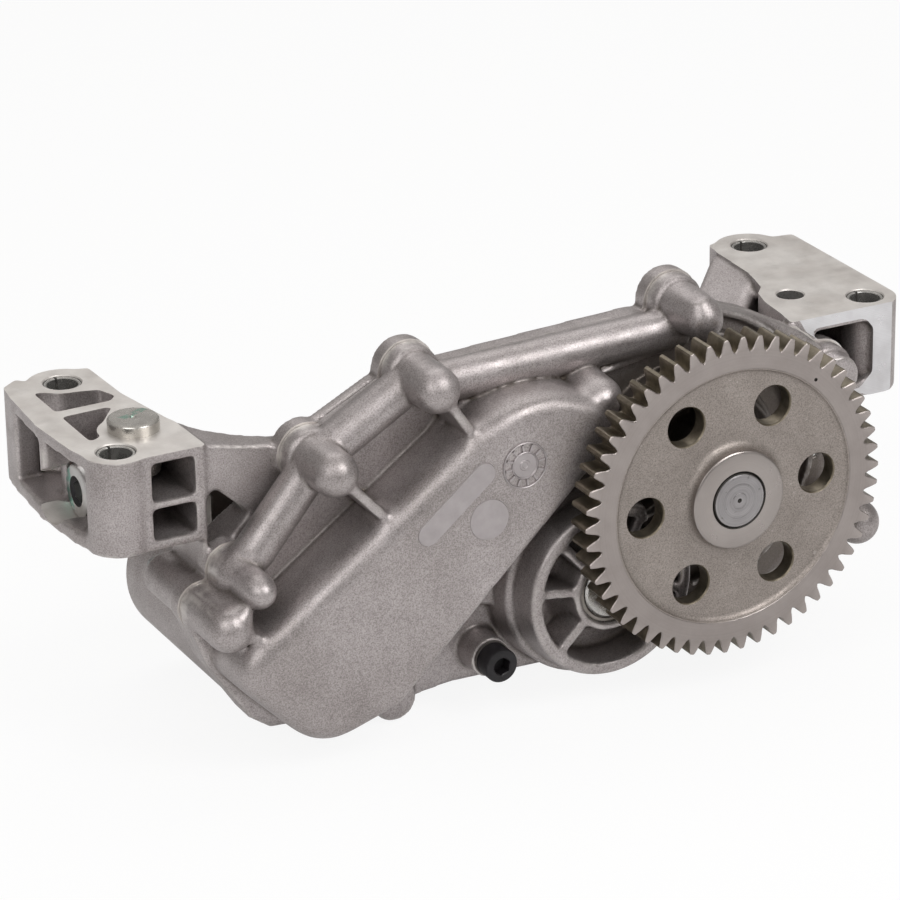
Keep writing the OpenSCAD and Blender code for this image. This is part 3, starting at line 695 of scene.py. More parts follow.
# Painted shade: near-black faces in the gap between shaft and hub, in the shaft's centre hole and in the
# gear's punch dot.
SHADOW_GAP = PlainFinish("painted_gap_shade", pale=(0.05, 0.045, 0.04), dark=(0.03, 0.027, 0.024),
                         metallic=0.4, rough_low=0.5, rough_high=0.6)
GROUND = PlainFinish("ground_steel", pale=(0.56, 0.55, 0.53), dark=(0.47, 0.46, 0.445), rough_low=0.2,
                     rough_high=0.32)
ROTOR = PlainFinish("rotor_steel", pale=(0.42, 0.41, 0.40), dark=(0.33, 0.32, 0.31))
BOLT = PlainFinish("zinc_bolt_steel", pale=(0.34, 0.34, 0.33), dark=(0.24, 0.24, 0.235), rough_low=0.35,
                   rough_high=0.5)
BLACK = PlainFinish("black_steel", pale=(0.012, 0.010, 0.012), dark=(0.005, 0.004, 0.005), metallic=0.1,
                    rough_low=0.42, rough_high=0.6)
COPPER = PlainFinish("soft_copper", pale=(0.62, 0.34, 0.22), dark=(0.45, 0.23, 0.14), rough_low=0.3,
                     rough_high=0.5)
BRONZE = PlainFinish("bearing_bronze", pale=(0.55, 0.40, 0.22), dark=(0.42, 0.29, 0.15), rough_low=0.3,
                     rough_high=0.45)
BUSH_END = PlainFinish("oiled_bush_end", pale=(0.30, 0.275, 0.25), dark=(0.22, 0.20, 0.18), rough_low=0.32,
                       rough_high=0.45)
DULL_SEAL = PlainFinish("dull_seal_ring", pale=(0.16, 0.145, 0.135), dark=(0.10, 0.09, 0.085), metallic=0.6)
SPRING = PlainFinish("spring_steel", pale=(0.20, 0.20, 0.21), dark=(0.12, 0.12, 0.13), rough_low=0.3,
                     rough_high=0.45)
CAP = PlainFinish("pressed_cap_steel", pale=(0.46, 0.45, 0.44), dark=(0.36, 0.35, 0.34), rough_low=0.25,
                  rough_high=0.4)
PIN_FINISH = PlainFinish("painted_pin_steel", pale=(0.60, 0.58, 0.545), dark=(0.52, 0.50, 0.465),
                         rough_low=0.22, rough_high=0.3, skin_depth=0.003)
PLUG_FINISH = PlainFinish("painted_plug_steel", pale=(0.56, 0.55, 0.54), dark=(0.47, 0.46, 0.45))

Finish = CastFinish | MilledFinish | TurnedFinish | PlainFinish


class Finishes:
    """Makes each finish's material once."""

    def __init__(self) -> None:
        """Starts with no material made."""
        self.made: dict[str, bpy.types.Material] = {}

    def get(self, finish: Finish) -> bpy.types.Material:
        """Looks a finish up.

        Args:
            finish: The finish.

        Returns:
            Its material, made on its first use.
        """
        if finish.name not in self.made:
            self.made[finish.name] = finish.material()
        return self.made[finish.name]


FINISHES = Finishes()


def linked(name: str, mesh: bpy.types.Mesh) -> bpy.types.Object:
    """Puts a mesh into the scene as an object at the origin.

    Args:
        name: Name of the object.
        mesh: Its mesh.

    Returns:
        The object.
    """
    thing = bpy.data.objects.new(name, mesh)
    bpy.context.scene.collection.objects.link(thing)
    return thing


def mesh_object(name: str, sheet: bmesh.types.BMesh, *materials: bpy.types.Material) -> bpy.types.Object:
    """Turns a bmesh into an object with its faces pointing outwards.

    Args:
        name: Name of the object.
        sheet: The finished bmesh, freed here.
        materials: Materials in the order of their slots.

    Returns:
        The object.
    """
    bmesh.ops.recalc_face_normals(sheet, faces=sheet.faces)
    mesh = bpy.data.meshes.new(name)
    sheet.to_mesh(mesh)
    sheet.free()
    for material in materials:
        mesh.materials.append(material)
    return linked(name, mesh)


def along(axis: Axis, across: float, up: float, height: float) -> Vector:
    """Places a point of a body that is drawn round an axis.

    Args:
        axis: The axis.
        across: The first of the two other coordinates, in millimetres.
        up: The second of them.
        height: Place along the axis.

    Returns:
        The point in metres.
    """
    if axis is Axis.X:
        return Vector((height, across, up)) * MM
    if axis is Axis.Y:
        return Vector((across, height, up)) * MM
    return Vector((across, up, height)) * MM


def lathe(name: str, profile: Sequence[Point2], at: Point2, axis: Axis = Axis.Y, segments: int = 96,
          materials: Sequence[bpy.types.Material] = (), bands: Sequence[int] = ()) -> bpy.types.Object:
    """Turns a closed profile about an axis.

    Args:
        name: Name of the object.
        profile: Points as (radius, height along the axis). The last joins the first unless both lie
            on the axis.
        at: Place of the axis in the two other coordinates.
        axis: Direction of the axis.
        segments: Facets round the axis.
        materials: Materials in the order of their slots.
        bands: Material index of each stretch of the profile.

    Returns:
        The object.
    """
    sheet = bmesh.new()
    rings = []
    for radius, height in profile:
        if radius < ON_AXIS:
            rings.append([sheet.verts.new(along(axis, at[0], at[1], height))])
            continue
        ring = []
        for k in range(segments):
            a, b = polar(radius, 360.0 * k / segments)
            ring.append(sheet.verts.new(along(axis, at[0] + a, at[1] + b, height)))
        rings.append(ring)
    for i, ring in enumerate(rings):
        other = rings[(i + 1) % len(rings)]
        if len(ring) == 1 and len(other) == 1:
            continue
        for k in range(segments):
            n = (k + 1) % segments
            corners = [ring[k % len(ring)], ring[n % len(ring)],
                       other[n % len(other)], other[k % len(other)]]
            corners = [v for j, v in enumerate(corners) if v not in corners[:j]]
            face = sheet.faces.new(corners)
            face.material_index = bands[i] if i < len(bands) else 0
            face.smooth = True
    return mesh_object(name, sheet, *materials)


def rod(name: str, at: Point2, radius: float, low: float, high: float, axis: Axis = Axis.Y,
        material: bpy.types.Material | None = None, segments: int = 64) -> bpy.types.Object:
    """A plain round bar, used as a cutting tool."""
    materials = [material] if material else []
    return lathe(name, [(0, low), (radius, low), (radius, high), (0, high)], at, axis, segments, materials)


def prism(name: str, outline: Sequence[Point2], low: float, high: float, axis: Axis = Axis.Y,
          material: bpy.types.Material | None = None) -> bpy.types.Object:
    """A bar with any outline along an axis.

    Args:
        name: Name of the object.
        outline: Corners in the two other coordinates.
        low: Where the bar starts along the axis.
        high: Where it ends.
        axis: Direction of the bar.
        material: Its material.

    Returns:
        The object.
    """
    sheet = bmesh.new()
    ends = [[sheet.verts.new(along(axis, a, b, h)) for a, b in outline] for h in (low, high)]
    sheet.faces.new(ends[0])
    sheet.faces.new(ends[1])
    for k in range(len(outline)):
        n = (k + 1) % len(outline)
        sheet.faces.new([ends[0][k], ends[0][n], ends[1][n], ends[1][k]])
    return mesh_object(name, sheet, *([material] if material else []))


def block(name: str, low: Point3, high: Point3,
          material: bpy.types.Material | None = None) -> bpy.types.Object:
    """A straight box, used as a cutting tool."""
    (x0, y0, z0), (x1, y1, z1) = low, high
    return prism(name, [(x0, z0), (x1, z0), (x1, z1), (x0, z1)], y0, y1, Axis.Y, material)


def hexagon(at: Point2, radius: float, turn: float = 0.0) -> list[Point2]:
    """Corners of a hexagon."""
    corners = [polar(radius, turn + 60 * k) for k in range(6)]
    return [(at[0] + a, at[1] + b) for a, b in corners]


def evaluated(thing: bpy.types.Object, name: str) -> bpy.types.Object:
    """Makes a plain mesh object of what a modified object shows, and removes the modified one.

    Args:
        thing: Object with modifiers.
        name: Name of the new object.

    Returns:
        The plain object.
    """
    graph = bpy.context.evaluated_depsgraph_get()
    mesh = bpy.data.meshes.new_from_object(thing.evaluated_get(graph), preserve_all_data_layers=True,
                                           depsgraph=graph)
    bpy.data.objects.remove(thing)
    mesh.name = name
    return linked(name, mesh)


def machine(thing: bpy.types.Object, tools: Sequence[bpy.types.Object], name: str,
            operation: str = "DIFFERENCE") -> bpy.types.Object:
    """Cuts tools out of a piece; the cut faces take the tools' materials.

    Args:
        thing: The piece.
        tools: Cutting tools, removed afterwards.
        name: Name of the result.
        operation: Boolean operation of each tool.

    Returns:
        The cut piece.
    """
    for tool in tools:
        step = thing.modifiers.new(tool.name, "BOOLEAN")
        step.operation = operation
        step.solver = "MANIFOLD"
        step.material_mode = "TRANSFER"
        step.object = tool
    result = evaluated(thing, name)
    for tool in tools:
        bpy.data.objects.remove(tool)
    return result


def crease(thing: bpy.types.Object, degrees: float = 32.0) -> bpy.types.Object:
    """Shades a mesh smooth, apart from its milled faces and its sharp edges.

    Args:
        thing: The object, changed in place.
        degrees: Angle from which an edge is sharp.

    Returns:
        The same object.
    """
    sheet = bmesh.new()
    sheet.from_mesh(thing.data)
    limit = math.radians(degrees)
    flat = {k for k, material in enumerate(thing.data.materials) if material and "milled" in material.name}
    for face in sheet.faces:
        face.smooth = face.material_index not in flat
    for edge in sheet.edges:
        edge.smooth = len(edge.link_faces) == 2 and edge.calc_face_angle(0.0) < limit
    sheet.to_mesh(thing.data)
    sheet.free()
    return thing


def placed(piece: bpy.types.Object, body: Body, slot: str, *nodes: str) -> bpy.types.Object:
    """Args:
        piece: The finished object.
        body: Body that it moves with.
        slot: Material slot of the record; not used.
        nodes: CAD nodes that it stands for.

    Returns:
        The piece.
    """
    if nodes:
        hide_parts(*nodes)
    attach(piece, body.value)
    LOG.info("%s: %d faces on %s", piece.name, len(piece.data.polygons), body.value)
    return piece


class NodeGraph:
    """A Geometry Nodes tree with named inputs, and its modifier on an object."""

    def __init__(self, name: str) -> None:
        """Starts a tree that has a geometry input and output.

        Args:
            name: Name of the tree.
        """
        self.tree = bpy.data.node_groups.new(name, "GeometryNodeTree")
        self.tree.interface.new_socket("Geometry", in_out="INPUT", socket_type="NodeSocketGeometry")
        self.tree.interface.new_socket("Geometry", in_out="OUTPUT", socket_type="NodeSocketGeometry")
        self.inputs = self.tree.nodes.new("NodeGroupInput")
        self.outputs = self.tree.nodes.new("NodeGroupOutput")

    def input(self, name: str, kind: str) -> Socket:
        """Adds a named input.

        Args:
            name: Name of the input.
            kind: Socket type, such as NodeSocketInt.

        Returns:
            The input's socket inside the tree.
        """
        self.tree.interface.new_socket(name, in_out="INPUT", socket_type=kind)
        return self.inputs.outputs[name]

    def node(self, kind: str, sockets: dict[str | int, object] | None = None,
             **settings: object) -> bpy.types.Node:
        """Adds a node, sets its properties and feeds its inputs.

        Args:
            kind: Node type.
            sockets: Input names or indices, with values or sockets.
            settings: Properties of the node.

        Returns:
            The node.
        """
        node = self.tree.nodes.new(kind)
        for key, value in settings.items():
            setattr(node, key, value)
        for key, value in (sockets or {}).items():
            if isinstance(value, Socket):
                self.tree.links.new(value, node.inputs[key])
            else:
                node.inputs[key].default_value = value
        return node

    def finish(self, geometry: Socket) -> None:
        """Links the last geometry to the tree's output."""
        self.tree.links.new(geometry, self.outputs.inputs[0])

    def run(self, thing: bpy.types.Object, name: str, values: dict[str, object]) -> bpy.types.Object:
        """Runs the tree on an object and returns the plain result.

        Args:
            thing: Object that the tree starts from, removed afterwards.
            name: Name of the result.
            values: Values of the named inputs.

        Returns:
            The plain mesh object.
        """
        modifier = thing.modifiers.new(self.tree.name, "NODES")
        modifier.node_group = self.tree
        for item in self.tree.interface.items_tree:
            if item.in_out == "INPUT" and item.name in values:
                modifier[item.identifier] = values[item.name]
        return evaluated(thing, name)


def ring_graph() -> NodeGraph:
    """Builds the tree that repeats a piece round an axis along Y.

    Returns:
        The tree, with the inputs Count, Phase, Centre, Body finish and Mark finish. Faces with the
        attribute marked take the mark finish.
    """
    graph = NodeGraph("repeat_round_axis")
    count = graph.input("Count", "NodeSocketInt")
    phase = graph.input("Phase", "NodeSocketFloat")
    centre = graph.input("Centre", "NodeSocketVector")
    plain = graph.input("Body finish", "NodeSocketMaterial")
    marked = graph.input("Mark finish", "NodeSocketMaterial")
    wrapped = graph.node("GeometryNodeGeometryToInstance", {0: graph.inputs.outputs["Geometry"]})
    copies = graph.node("GeometryNodeDuplicateElements",
                        {"Geometry": wrapped.outputs[0], "Amount": count}, domain="INSTANCE")
    share = graph.node("ShaderNodeMath", {0: copies.outputs["Duplicate Index"], 1: count},
                       operation="DIVIDE")
    turn = graph.node("ShaderNodeMath", {0: share.outputs[0], 1: 2 * math.pi, 2: phase},
                      operation="MULTIPLY_ADD")
    back = graph.node("ShaderNodeMath", {0: turn.outputs[0], 1: -1.0}, operation="MULTIPLY")
    spin = graph.node("ShaderNodeCombineXYZ", {"Y": back.outputs[0]})
    turned = graph.node("GeometryNodeRotateInstances", {"Instances": copies.outputs["Geometry"],
                                                        "Rotation": spin.outputs[0]})
    real = graph.node("GeometryNodeRealizeInstances", {0: turned.outputs[0]})
    merged = graph.node("GeometryNodeMergeByDistance",
                        {"Geometry": real.outputs[0], "Distance": RING_WELD})
    moved = graph.node("GeometryNodeTransform", {"Geometry": merged.outputs[0], "Translation": centre})
    dressed = graph.node("GeometryNodeSetMaterial", {"Geometry": moved.outputs[0], "Material": plain})
    flag = graph.node("GeometryNodeInputNamedAttribute", {"Name": "marked"}, data_type="BOOLEAN")
    both = graph.node("GeometryNodeSetMaterial", {"Geometry": dressed.outputs[0],
                                                  "Selection": flag.outputs["Attribute"], "Material": marked})
    graph.finish(both.outputs[0])
    return graph


def scatter_graph() -> NodeGraph:
    """Builds the tree that puts one piece on each point of a mesh.

    Returns:
        The tree, with the inputs Piece, Turn, Seed and Finish. Turn is the greatest turn about Y.
    """
    graph = NodeGraph("piece_on_each_place")
    piece = graph.input("Piece", "NodeSocketObject")
    turn = graph.input("Turn", "NodeSocketFloat")
    seed = graph.input("Seed", "NodeSocketInt")
    finish = graph.input("Finish", "NodeSocketMaterial")
    source = graph.node("GeometryNodeObjectInfo", {"Object": piece})
    random = graph.node("FunctionNodeRandomValue", {"Seed": seed}, data_type="FLOAT")
    angle = graph.node("ShaderNodeMath", {0: random.outputs[1], 1: turn}, operation="MULTIPLY")
    spin = graph.node("ShaderNodeCombineXYZ", {"Y": angle.outputs[0]})
    copies = graph.node("GeometryNodeInstanceOnPoints", {"Points": graph.inputs.outputs["Geometry"],
                                                         "Instance": source.outputs["Geometry"],
                                                         "Rotation": spin.outputs[0]})
    real = graph.node("GeometryNodeRealizeInstances", {0: copies.outputs[0]})
    dressed = graph.node("GeometryNodeSetMaterial", {"Geometry": real.outputs[0], "Material": finish})
    graph.finish(dressed.outputs[0])
    return graph


RING_GRAPH = ring_graph()
SCATTER_GRAPH = scatter_graph()


def points_object(name: str, places: Sequence[Point3]) -> bpy.types.Object:
    """Makes a mesh that has only points.

    Args:
        name: Name of the object.
        places: The points, in millimetres.

    Returns:
        The object.
    """
    mesh = bpy.data.meshes.new(name)
    mesh.from_pydata([Vector(p) * MM for p in places], [], [])
    return linked(name, mesh)


@dataclass(frozen=True)
class Stock:
    """A plane of the casting that gets extra metal before it is machined."""

    axis: Axis
    at: float
    way: Cut
    low: Point3 = (-FAR, -FAR, -FAR)
    high: Point3 = (FAR, FAR, FAR)
    extra: float = 3.0

    def grow(self, sheet: bmesh.types.BMesh) -> None:
        """Moves the vertices that lie on the plane outwards.

        Args:
            sheet: The casting's mesh, in metres.
        """
        k = self.axis.value
        for vert in sheet.verts:
            if abs(vert.co[k] - self.at * MM) > PLANE_SLACK:
                continue
            if all(self.low[i] * MM <= vert.co[i] <= self.high[i] * MM for i in range(3)):
                vert.co[k] += self.way.value * self.extra * MM

    def tool(self, name: str, material: bpy.types.Material, gap: float = 0.0) -> bpy.types.Object:
        """The box that machines the plane flat again.

        Args:
            name: Name of the tool.
            material: Finish of the cut.
            gap: Metal taken off below the plane.

        Returns:
            The tool.
        """
        k = self.axis.value
        low, high = list(self.low), list(self.high)
        edge = self.at - self.way.value * gap
        if self.way is Cut.UP:
            low[k], high[k] = edge, self.at + self.extra + OVERRUN
        else:
            low[k], high[k] = self.at - self.extra - OVERRUN, edge
        return block(name, tuple(low), tuple(high), material)


@dataclass
class Casting:
    """A casting grown from its CAD node: remeshed, smoothed to cast fillets, then machined."""

    node: str
    voxel: float = 1.1
    smooth_rounds: int = 9
    smooth_factor: float = 0.5
    face_limit: int = 180000
    stocks: list[Stock] = field(default_factory=list)
    shape: Callable[[bpy.types.Mesh], None] | None = None

    def raw(self, finish: CastFinish) -> bpy.types.Object:
        """Copies the CAD node, adds the stock and rounds it.

        Args:
            finish: Finish of the cast skin.

        Returns:
            The raw casting.
        """
        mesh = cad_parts[self.node].data.copy()
        mesh.materials.clear()
        mesh.materials.append(FINISHES.get(finish))
        sheet = bmesh.new()
        sheet.from_mesh(mesh)
        bmesh.ops.remove_doubles(sheet, verts=sheet.verts, dist=WELD)
        for stock in self.stocks:
            stock.grow(sheet)
        sheet.to_mesh(mesh)
        sheet.free()
        raw = linked("raw_" + self.node, mesh)
        remesh = raw.modifiers.new("voxels", "REMESH")
        remesh.mode = "VOXEL"
        remesh.voxel_size = self.voxel * MM
        remesh.use_smooth_shade = True
        smooth = raw.modifiers.new("fillets", "SMOOTH")
        smooth.factor = self.smooth_factor
        smooth.iterations = self.smooth_rounds
        rounded = evaluated(raw, "rounded_" + self.node)
        if self.shape is not None:
            self.shape(rounded.data)
        triangles = 2 * len(rounded.data.polygons)
        if triangles > self.face_limit:
            thin = rounded.modifiers.new("thin", "DECIMATE")
            thin.ratio = self.face_limit / triangles
            rounded = evaluated(rounded, "thinned_" + self.node)
        rounded.data.materials.clear()
        rounded.data.materials.append(FINISHES.get(finish))
        return rounded


def read_places(mesh: bpy.types.Mesh) -> np.ndarray:
    """Reads where a mesh's vertices lie.

    Args:
        mesh: The mesh.

    Returns:
        One row for each vertex, in metres.
    """
    flat = np.empty(3 * len(mesh.vertices))
    mesh.vertices.foreach_get("co", flat)
    return flat.reshape(-1, 3)


def soften(mesh: bpy.types.Mesh, weights: np.ndarray, rounds: int, pull: float = 0.5) -> None:
    """Smooths part of a mesh towards the mean of each vertex's neighbours.

    Args:
        mesh: The mesh, changed in place.
        weights: Share from 0 to 1 for each vertex.
        rounds: Rounds of smoothing.
        pull: Share of the way that a vertex of full weight goes in a round.
    """
    places = read_places(mesh)
    ends = np.empty(2 * len(mesh.edges), dtype=np.int64)
    mesh.edges.foreach_get("vertices", ends)
    ends = ends.reshape(-1, 2)
    ends = ends[(weights[ends] > 0).any(axis=1)]
    used, local = np.unique(ends, return_inverse=True)
    local = local.reshape(-1, 2)
    here = np.concatenate([local[:, 0], local[:, 1]])
    there = np.concatenate([local[:, 1], local[:, 0]])
    count = np.bincount(here, minlength=len(used))
    part, share = places[used], pull * weights[used][:, None]
    for _ in range(rounds):
        sums = [np.bincount(here, part[there, k], len(used)) for k in range(3)]
        mean = np.stack(sums, axis=1) / count[:, None]
        part = part + share * (mean - part)
    places[used] = part
    mesh.vertices.foreach_set("co", places.ravel())
    mesh.update()


def ease(values: np.ndarray, none: float, full: float) -> np.ndarray:
    """Maps a range of values to 0 to 1 with soft ends."""
    t = np.clip((values - none) / (full - none), 0.0, 1.0)
    return t * t * (3.0 - 2.0 * t)


@dataclass
class FrontCover:
    """Cast cover with the suction duct, the bolt bosses and the wheel round the driven shaft.

    bore_span is where the shaft bores' cutters start and end, and tick_span is how far a tick of the
    mould clock stays inside the clock's radius at its inner and outer end.
    """

    layout: Layout = LAYOUT
    voxel: float = 1.0
    smooth_rounds: int = 9
    seam_gap: float = 0.1
    bore_gap: float = 0.15
    bore_span: Span = (-70.0, 0.0)
    clock_at: Point2 = (-20.5, -21.9)
    clock_r: float = 11.0
    clock_core_r: float = 6.6
    clock_ticks: int = 12
    clock_phase: float = 0.13
    clock_proud: float = 0.85
    clock_shoulder: float = 0.55
    tick_span: Span = (4.3, 1.2)
    tick_half_widths: Span = (0.55, 0.75)
    tick_proud: float = 0.75
    tick_taper: float = 0.7
    safety_at: Point2 = (-28.5, -122.5)
    safety_front_y: float = -60.0
    safety_seat_r: float = 9.0
    safety_seat_y: float = -36.5
    safety_thread_r: float = 6.6
    safety_thread_y: float = -20.0
    round_pad: Point2 = (-38.9, -44.1)
    round_pad_r: float = 10.0
    long_pad: tuple[Point2, Point2] = ((-69.0, -45.0), (-41.0, -22.0))
    long_pad_r: float = 5.7
    long_pad_steps: int = 16
    pad_proud: float = 0.8
    pad_edge: float = 0.5
    # How deep the raised marks stand in the casting, and how near its skin their edges lie
    sunk: float = 1.0
    skin: float = 0.05
    # The duct's outline as discs, then the angles from, to and step of its rounded shoulder. The spans
    # after them say where the rounding, and the slimming of the boss, start and are full.
    duct_discs: tuple[tuple[Point2, float], ...] = (
        ((-147, -96.5), 13.5), ((-115, -112.5), 25), ((-9, -47), 54.5))
    shoulder_arc: tuple[float, float, float] = (105.0, 262.0, 3.0)
    shoulder_edge: Span = (-2.5, 0.5)
    shoulder_end: Span = (19.0, 9.0)
    shoulder_y: Span = (-33.0, -41.0)
    shoulder_rounds: int = 90
    slim_boss: Point2 = (-147.0, -59.5)
    slim_share: float = 0.24
    slim_r: Span = (14.5, 11.0)
    slim_y: Span = (-24.0, -34.0)

    def casting(self) -> Casting:
        """The raw casting with its machined joint face."""
        joint = Stock(Axis.Y, self.layout.parting_y, Cut.UP)
        return Casting("front_cover", self.voxel, self.smooth_rounds, stocks=[joint], shape=self.refine)

    def refine(self, mesh: bpy.types.Mesh) -> None:
        """Rounds the duct's shoulder further and slims the boss over the left dowel.

        Args:
            mesh: The smoothed casting, changed in place.
        """
        places = read_places(mesh) / MM
        x, y, z = places.T
        depth = np.full(len(places), np.inf)
        for degrees in np.arange(*self.shoulder_arc):
            u, v = polar(1.0, degrees)
            reach = max(c[0] * u + c[1] * v + r for c, r in self.duct_discs)
            depth = np.minimum(depth, reach - (x * u + z * v))
        inside = ease(depth, *self.shoulder_edge) * ease(depth, *self.shoulder_end)
        soften(mesh, inside * ease(y, *self.shoulder_y), self.shoulder_rounds)
        places = read_places(mesh)
        across, up = self.slim_boss[0] * MM, self.slim_boss[1] * MM
        radius = np.hypot(places[:, 0] - across, places[:, 2] - up) / MM
        share = self.slim_share * ease(radius, *self.slim_r) * ease(places[:, 1] / MM, *self.slim_y)
        places[:, 0] -= share * (places[:, 0] - across)
        places[:, 2] -= share * (places[:, 2] - up)
        mesh.vertices.foreach_set("co", places.ravel())
        mesh.update()

    def build(self) -> bpy.types.Object:
        """Casts and machines the cover.

        Returns:
            The finished cover.
        """
        casting = self.casting()
        milled, bored = FINISHES.get(MILLED), FINISHES.get(BORED)
        tools = [casting.stocks[0].tool("joint_face", milled, self.seam_gap)]
        outer = self.layout.bush_outer_r + self.bore_gap
        for k, at in enumerate((self.layout.drive, self.layout.driven)):
            tools.append(rod(f"shaft_bore_{k}", at, outer, *self.bore_span, material=bored))
        tools.append(rod("safety_seat", self.safety_at, self.safety_seat_r, self.safety_front_y,
                         self.safety_seat_y, material=milled))
        tools.append(rod("safety_thread", self.safety_at, self.safety_thread_r, self.safety_front_y,
                         self.safety_thread_y, material=bored))
        cover = machine(casting.raw(CAST), tools, "front_cover_casting")
        return placed(crease(cover), Body.PUMP, "cast_aluminium", "front_cover")

    def pads(self) -> bpy.types.Object:
        """Builds the two low, smooth pads on the flat front of the duct.

        Returns:
            The pads as one piece.
        """
        face, r = self.layout.duct_y, self.round_pad_r
        foot, skin, top = face + self.sunk, face + self.skin, face - self.pad_proud
        disc = lathe("round_pad", [(0, foot), (r, foot), (r, skin), (r - self.pad_edge, top), (0, top)],
                     self.round_pad, segments=64, materials=[FINISHES.get(PAD)])
        (ax, az), (bx, bz) = self.long_pad
        turn = math.degrees(math.atan2(bz - az, bx - ax))
        sheet = bmesh.new()
        rows = []
        for inset, height in ((0.0, foot), (0.0, skin), (self.pad_edge, top)):
            row = []
            for (x, z), first in (((bx, bz), turn - 90), ((ax, az), turn + 90)):
                for k in range(self.long_pad_steps + 1):
                    u, v = polar(self.long_pad_r - inset, first + 180 * k / self.long_pad_steps)
                    row.append(sheet.verts.new(along(Axis.Y, x + u, z + v, height)))
            rows.append(row)
        for low, high in zip(rows, rows[1:]):
            for k in range(len(low)):
                n = (k + 1) % len(low)
                sheet.faces.new([low[k], low[n], high[n], high[k]])
        sheet.faces.new(rows[0])
        sheet.faces.new(rows[-1])
        bar = mesh_object("long_pad", sheet, FINISHES.get(PAD))
        return placed(crease(joined("duct_pads", [disc, bar])), Body.PUMP, "cast_aluminium")

    def tick(self) -> bpy.types.Object:
        """Builds one raised tick of the mould clock's ring, beside the ring's middle.

        Returns:
            The tick.
        """
        sheet = bmesh.new()
        foot, top = [], []
        inner, outer = (self.clock_r - inset for inset in self.tick_span)
        narrow, wide = self.tick_half_widths
        for across, up in ((-narrow, inner), (narrow, inner), (wide, outer), (-wide, outer)):
            foot.append(sheet.verts.new(Vector((up, self.sunk, across)) * MM))
            top.append(sheet.verts.new(Vector((up, -self.tick_proud, across * self.tick_taper)) * MM))
        sheet.faces.new(foot)
        sheet.faces.new(top)
        for k in range(4):
            n = (k + 1) % 4
            sheet.faces.new([foot[k], foot[n], top[n], top[k]])
        return mesh_object("clock_tick", sheet)

    def clock(self) -> bpy.types.Object:
        """Builds the mould clock: two raised rings with ticks between them.

        Returns:
            The clock.
        """
        x, z = self.clock_at
        cast, face = FINISHES.get(PAD), self.layout.duct_y
        ticks = RING_GRAPH.run(self.tick(), "clock_ticks", {
            "Count": self.clock_ticks, "Phase": self.clock_phase, "Centre": Vector((x, face, z)) * MM,
            "Body finish": cast, "Mark finish": cast})
        r, q = self.clock_r, self.clock_core_r
        foot, skin = face + self.sunk, face - self.skin
        shoulder, top = face - self.clock_shoulder, face - self.clock_proud
        rim = [(r, foot), (r, shoulder), (r - 0.35, top), (r - 0.7, shoulder), (r - 0.7, foot)]
        core = [(0, foot), (q, foot), (q, shoulder), (q - 0.35, top), (q - 0.7, face - 0.35), (q - 0.9, skin),
                (2.6, skin), (2.3, face - 0.4), (1.5, face - 0.4), (1.2, skin), (0, skin)]
        outer = lathe("clock_rim", rim, self.clock_at, segments=72, materials=[cast])
        inner = lathe("clock_core", core, self.clock_at, segments=60, materials=[cast])
        clock = joined("mould_clock_ring", [outer, inner, ticks])
        return placed(crease(clock), Body.PUMP, "cast_aluminium")


def joined(name: str, things: Sequence[bpy.types.Object]) -> bpy.types.Object:
    """Joins objects that share their materials into one.

    Args:
        name: Name of the result.
        things: Objects to join, removed afterwards.

    Returns:
        The joined object.
    """
    sheet = bmesh.new()
    materials: list[bpy.types.Material] = []
    for thing in things:
        slots = []
        for material in thing.data.materials:
            if material not in materials:
                materials.append(material)
            slots.append(materials.index(material))
        start = len(sheet.faces)
        sheet.from_mesh(thing.data)
        sheet.faces.ensure_lookup_table()
        for face in sheet.faces[start:]:
            face.material_index = slots[face.material_index] if slots else 0
    mesh = bpy.data.meshes.new(name)
    sheet.to_mesh(mesh)
    sheet.free()
    for material in materials:
        mesh.materials.append(material)
    for thing in things:
        bpy.data.objects.remove(thing)
    return linked(name, mesh)


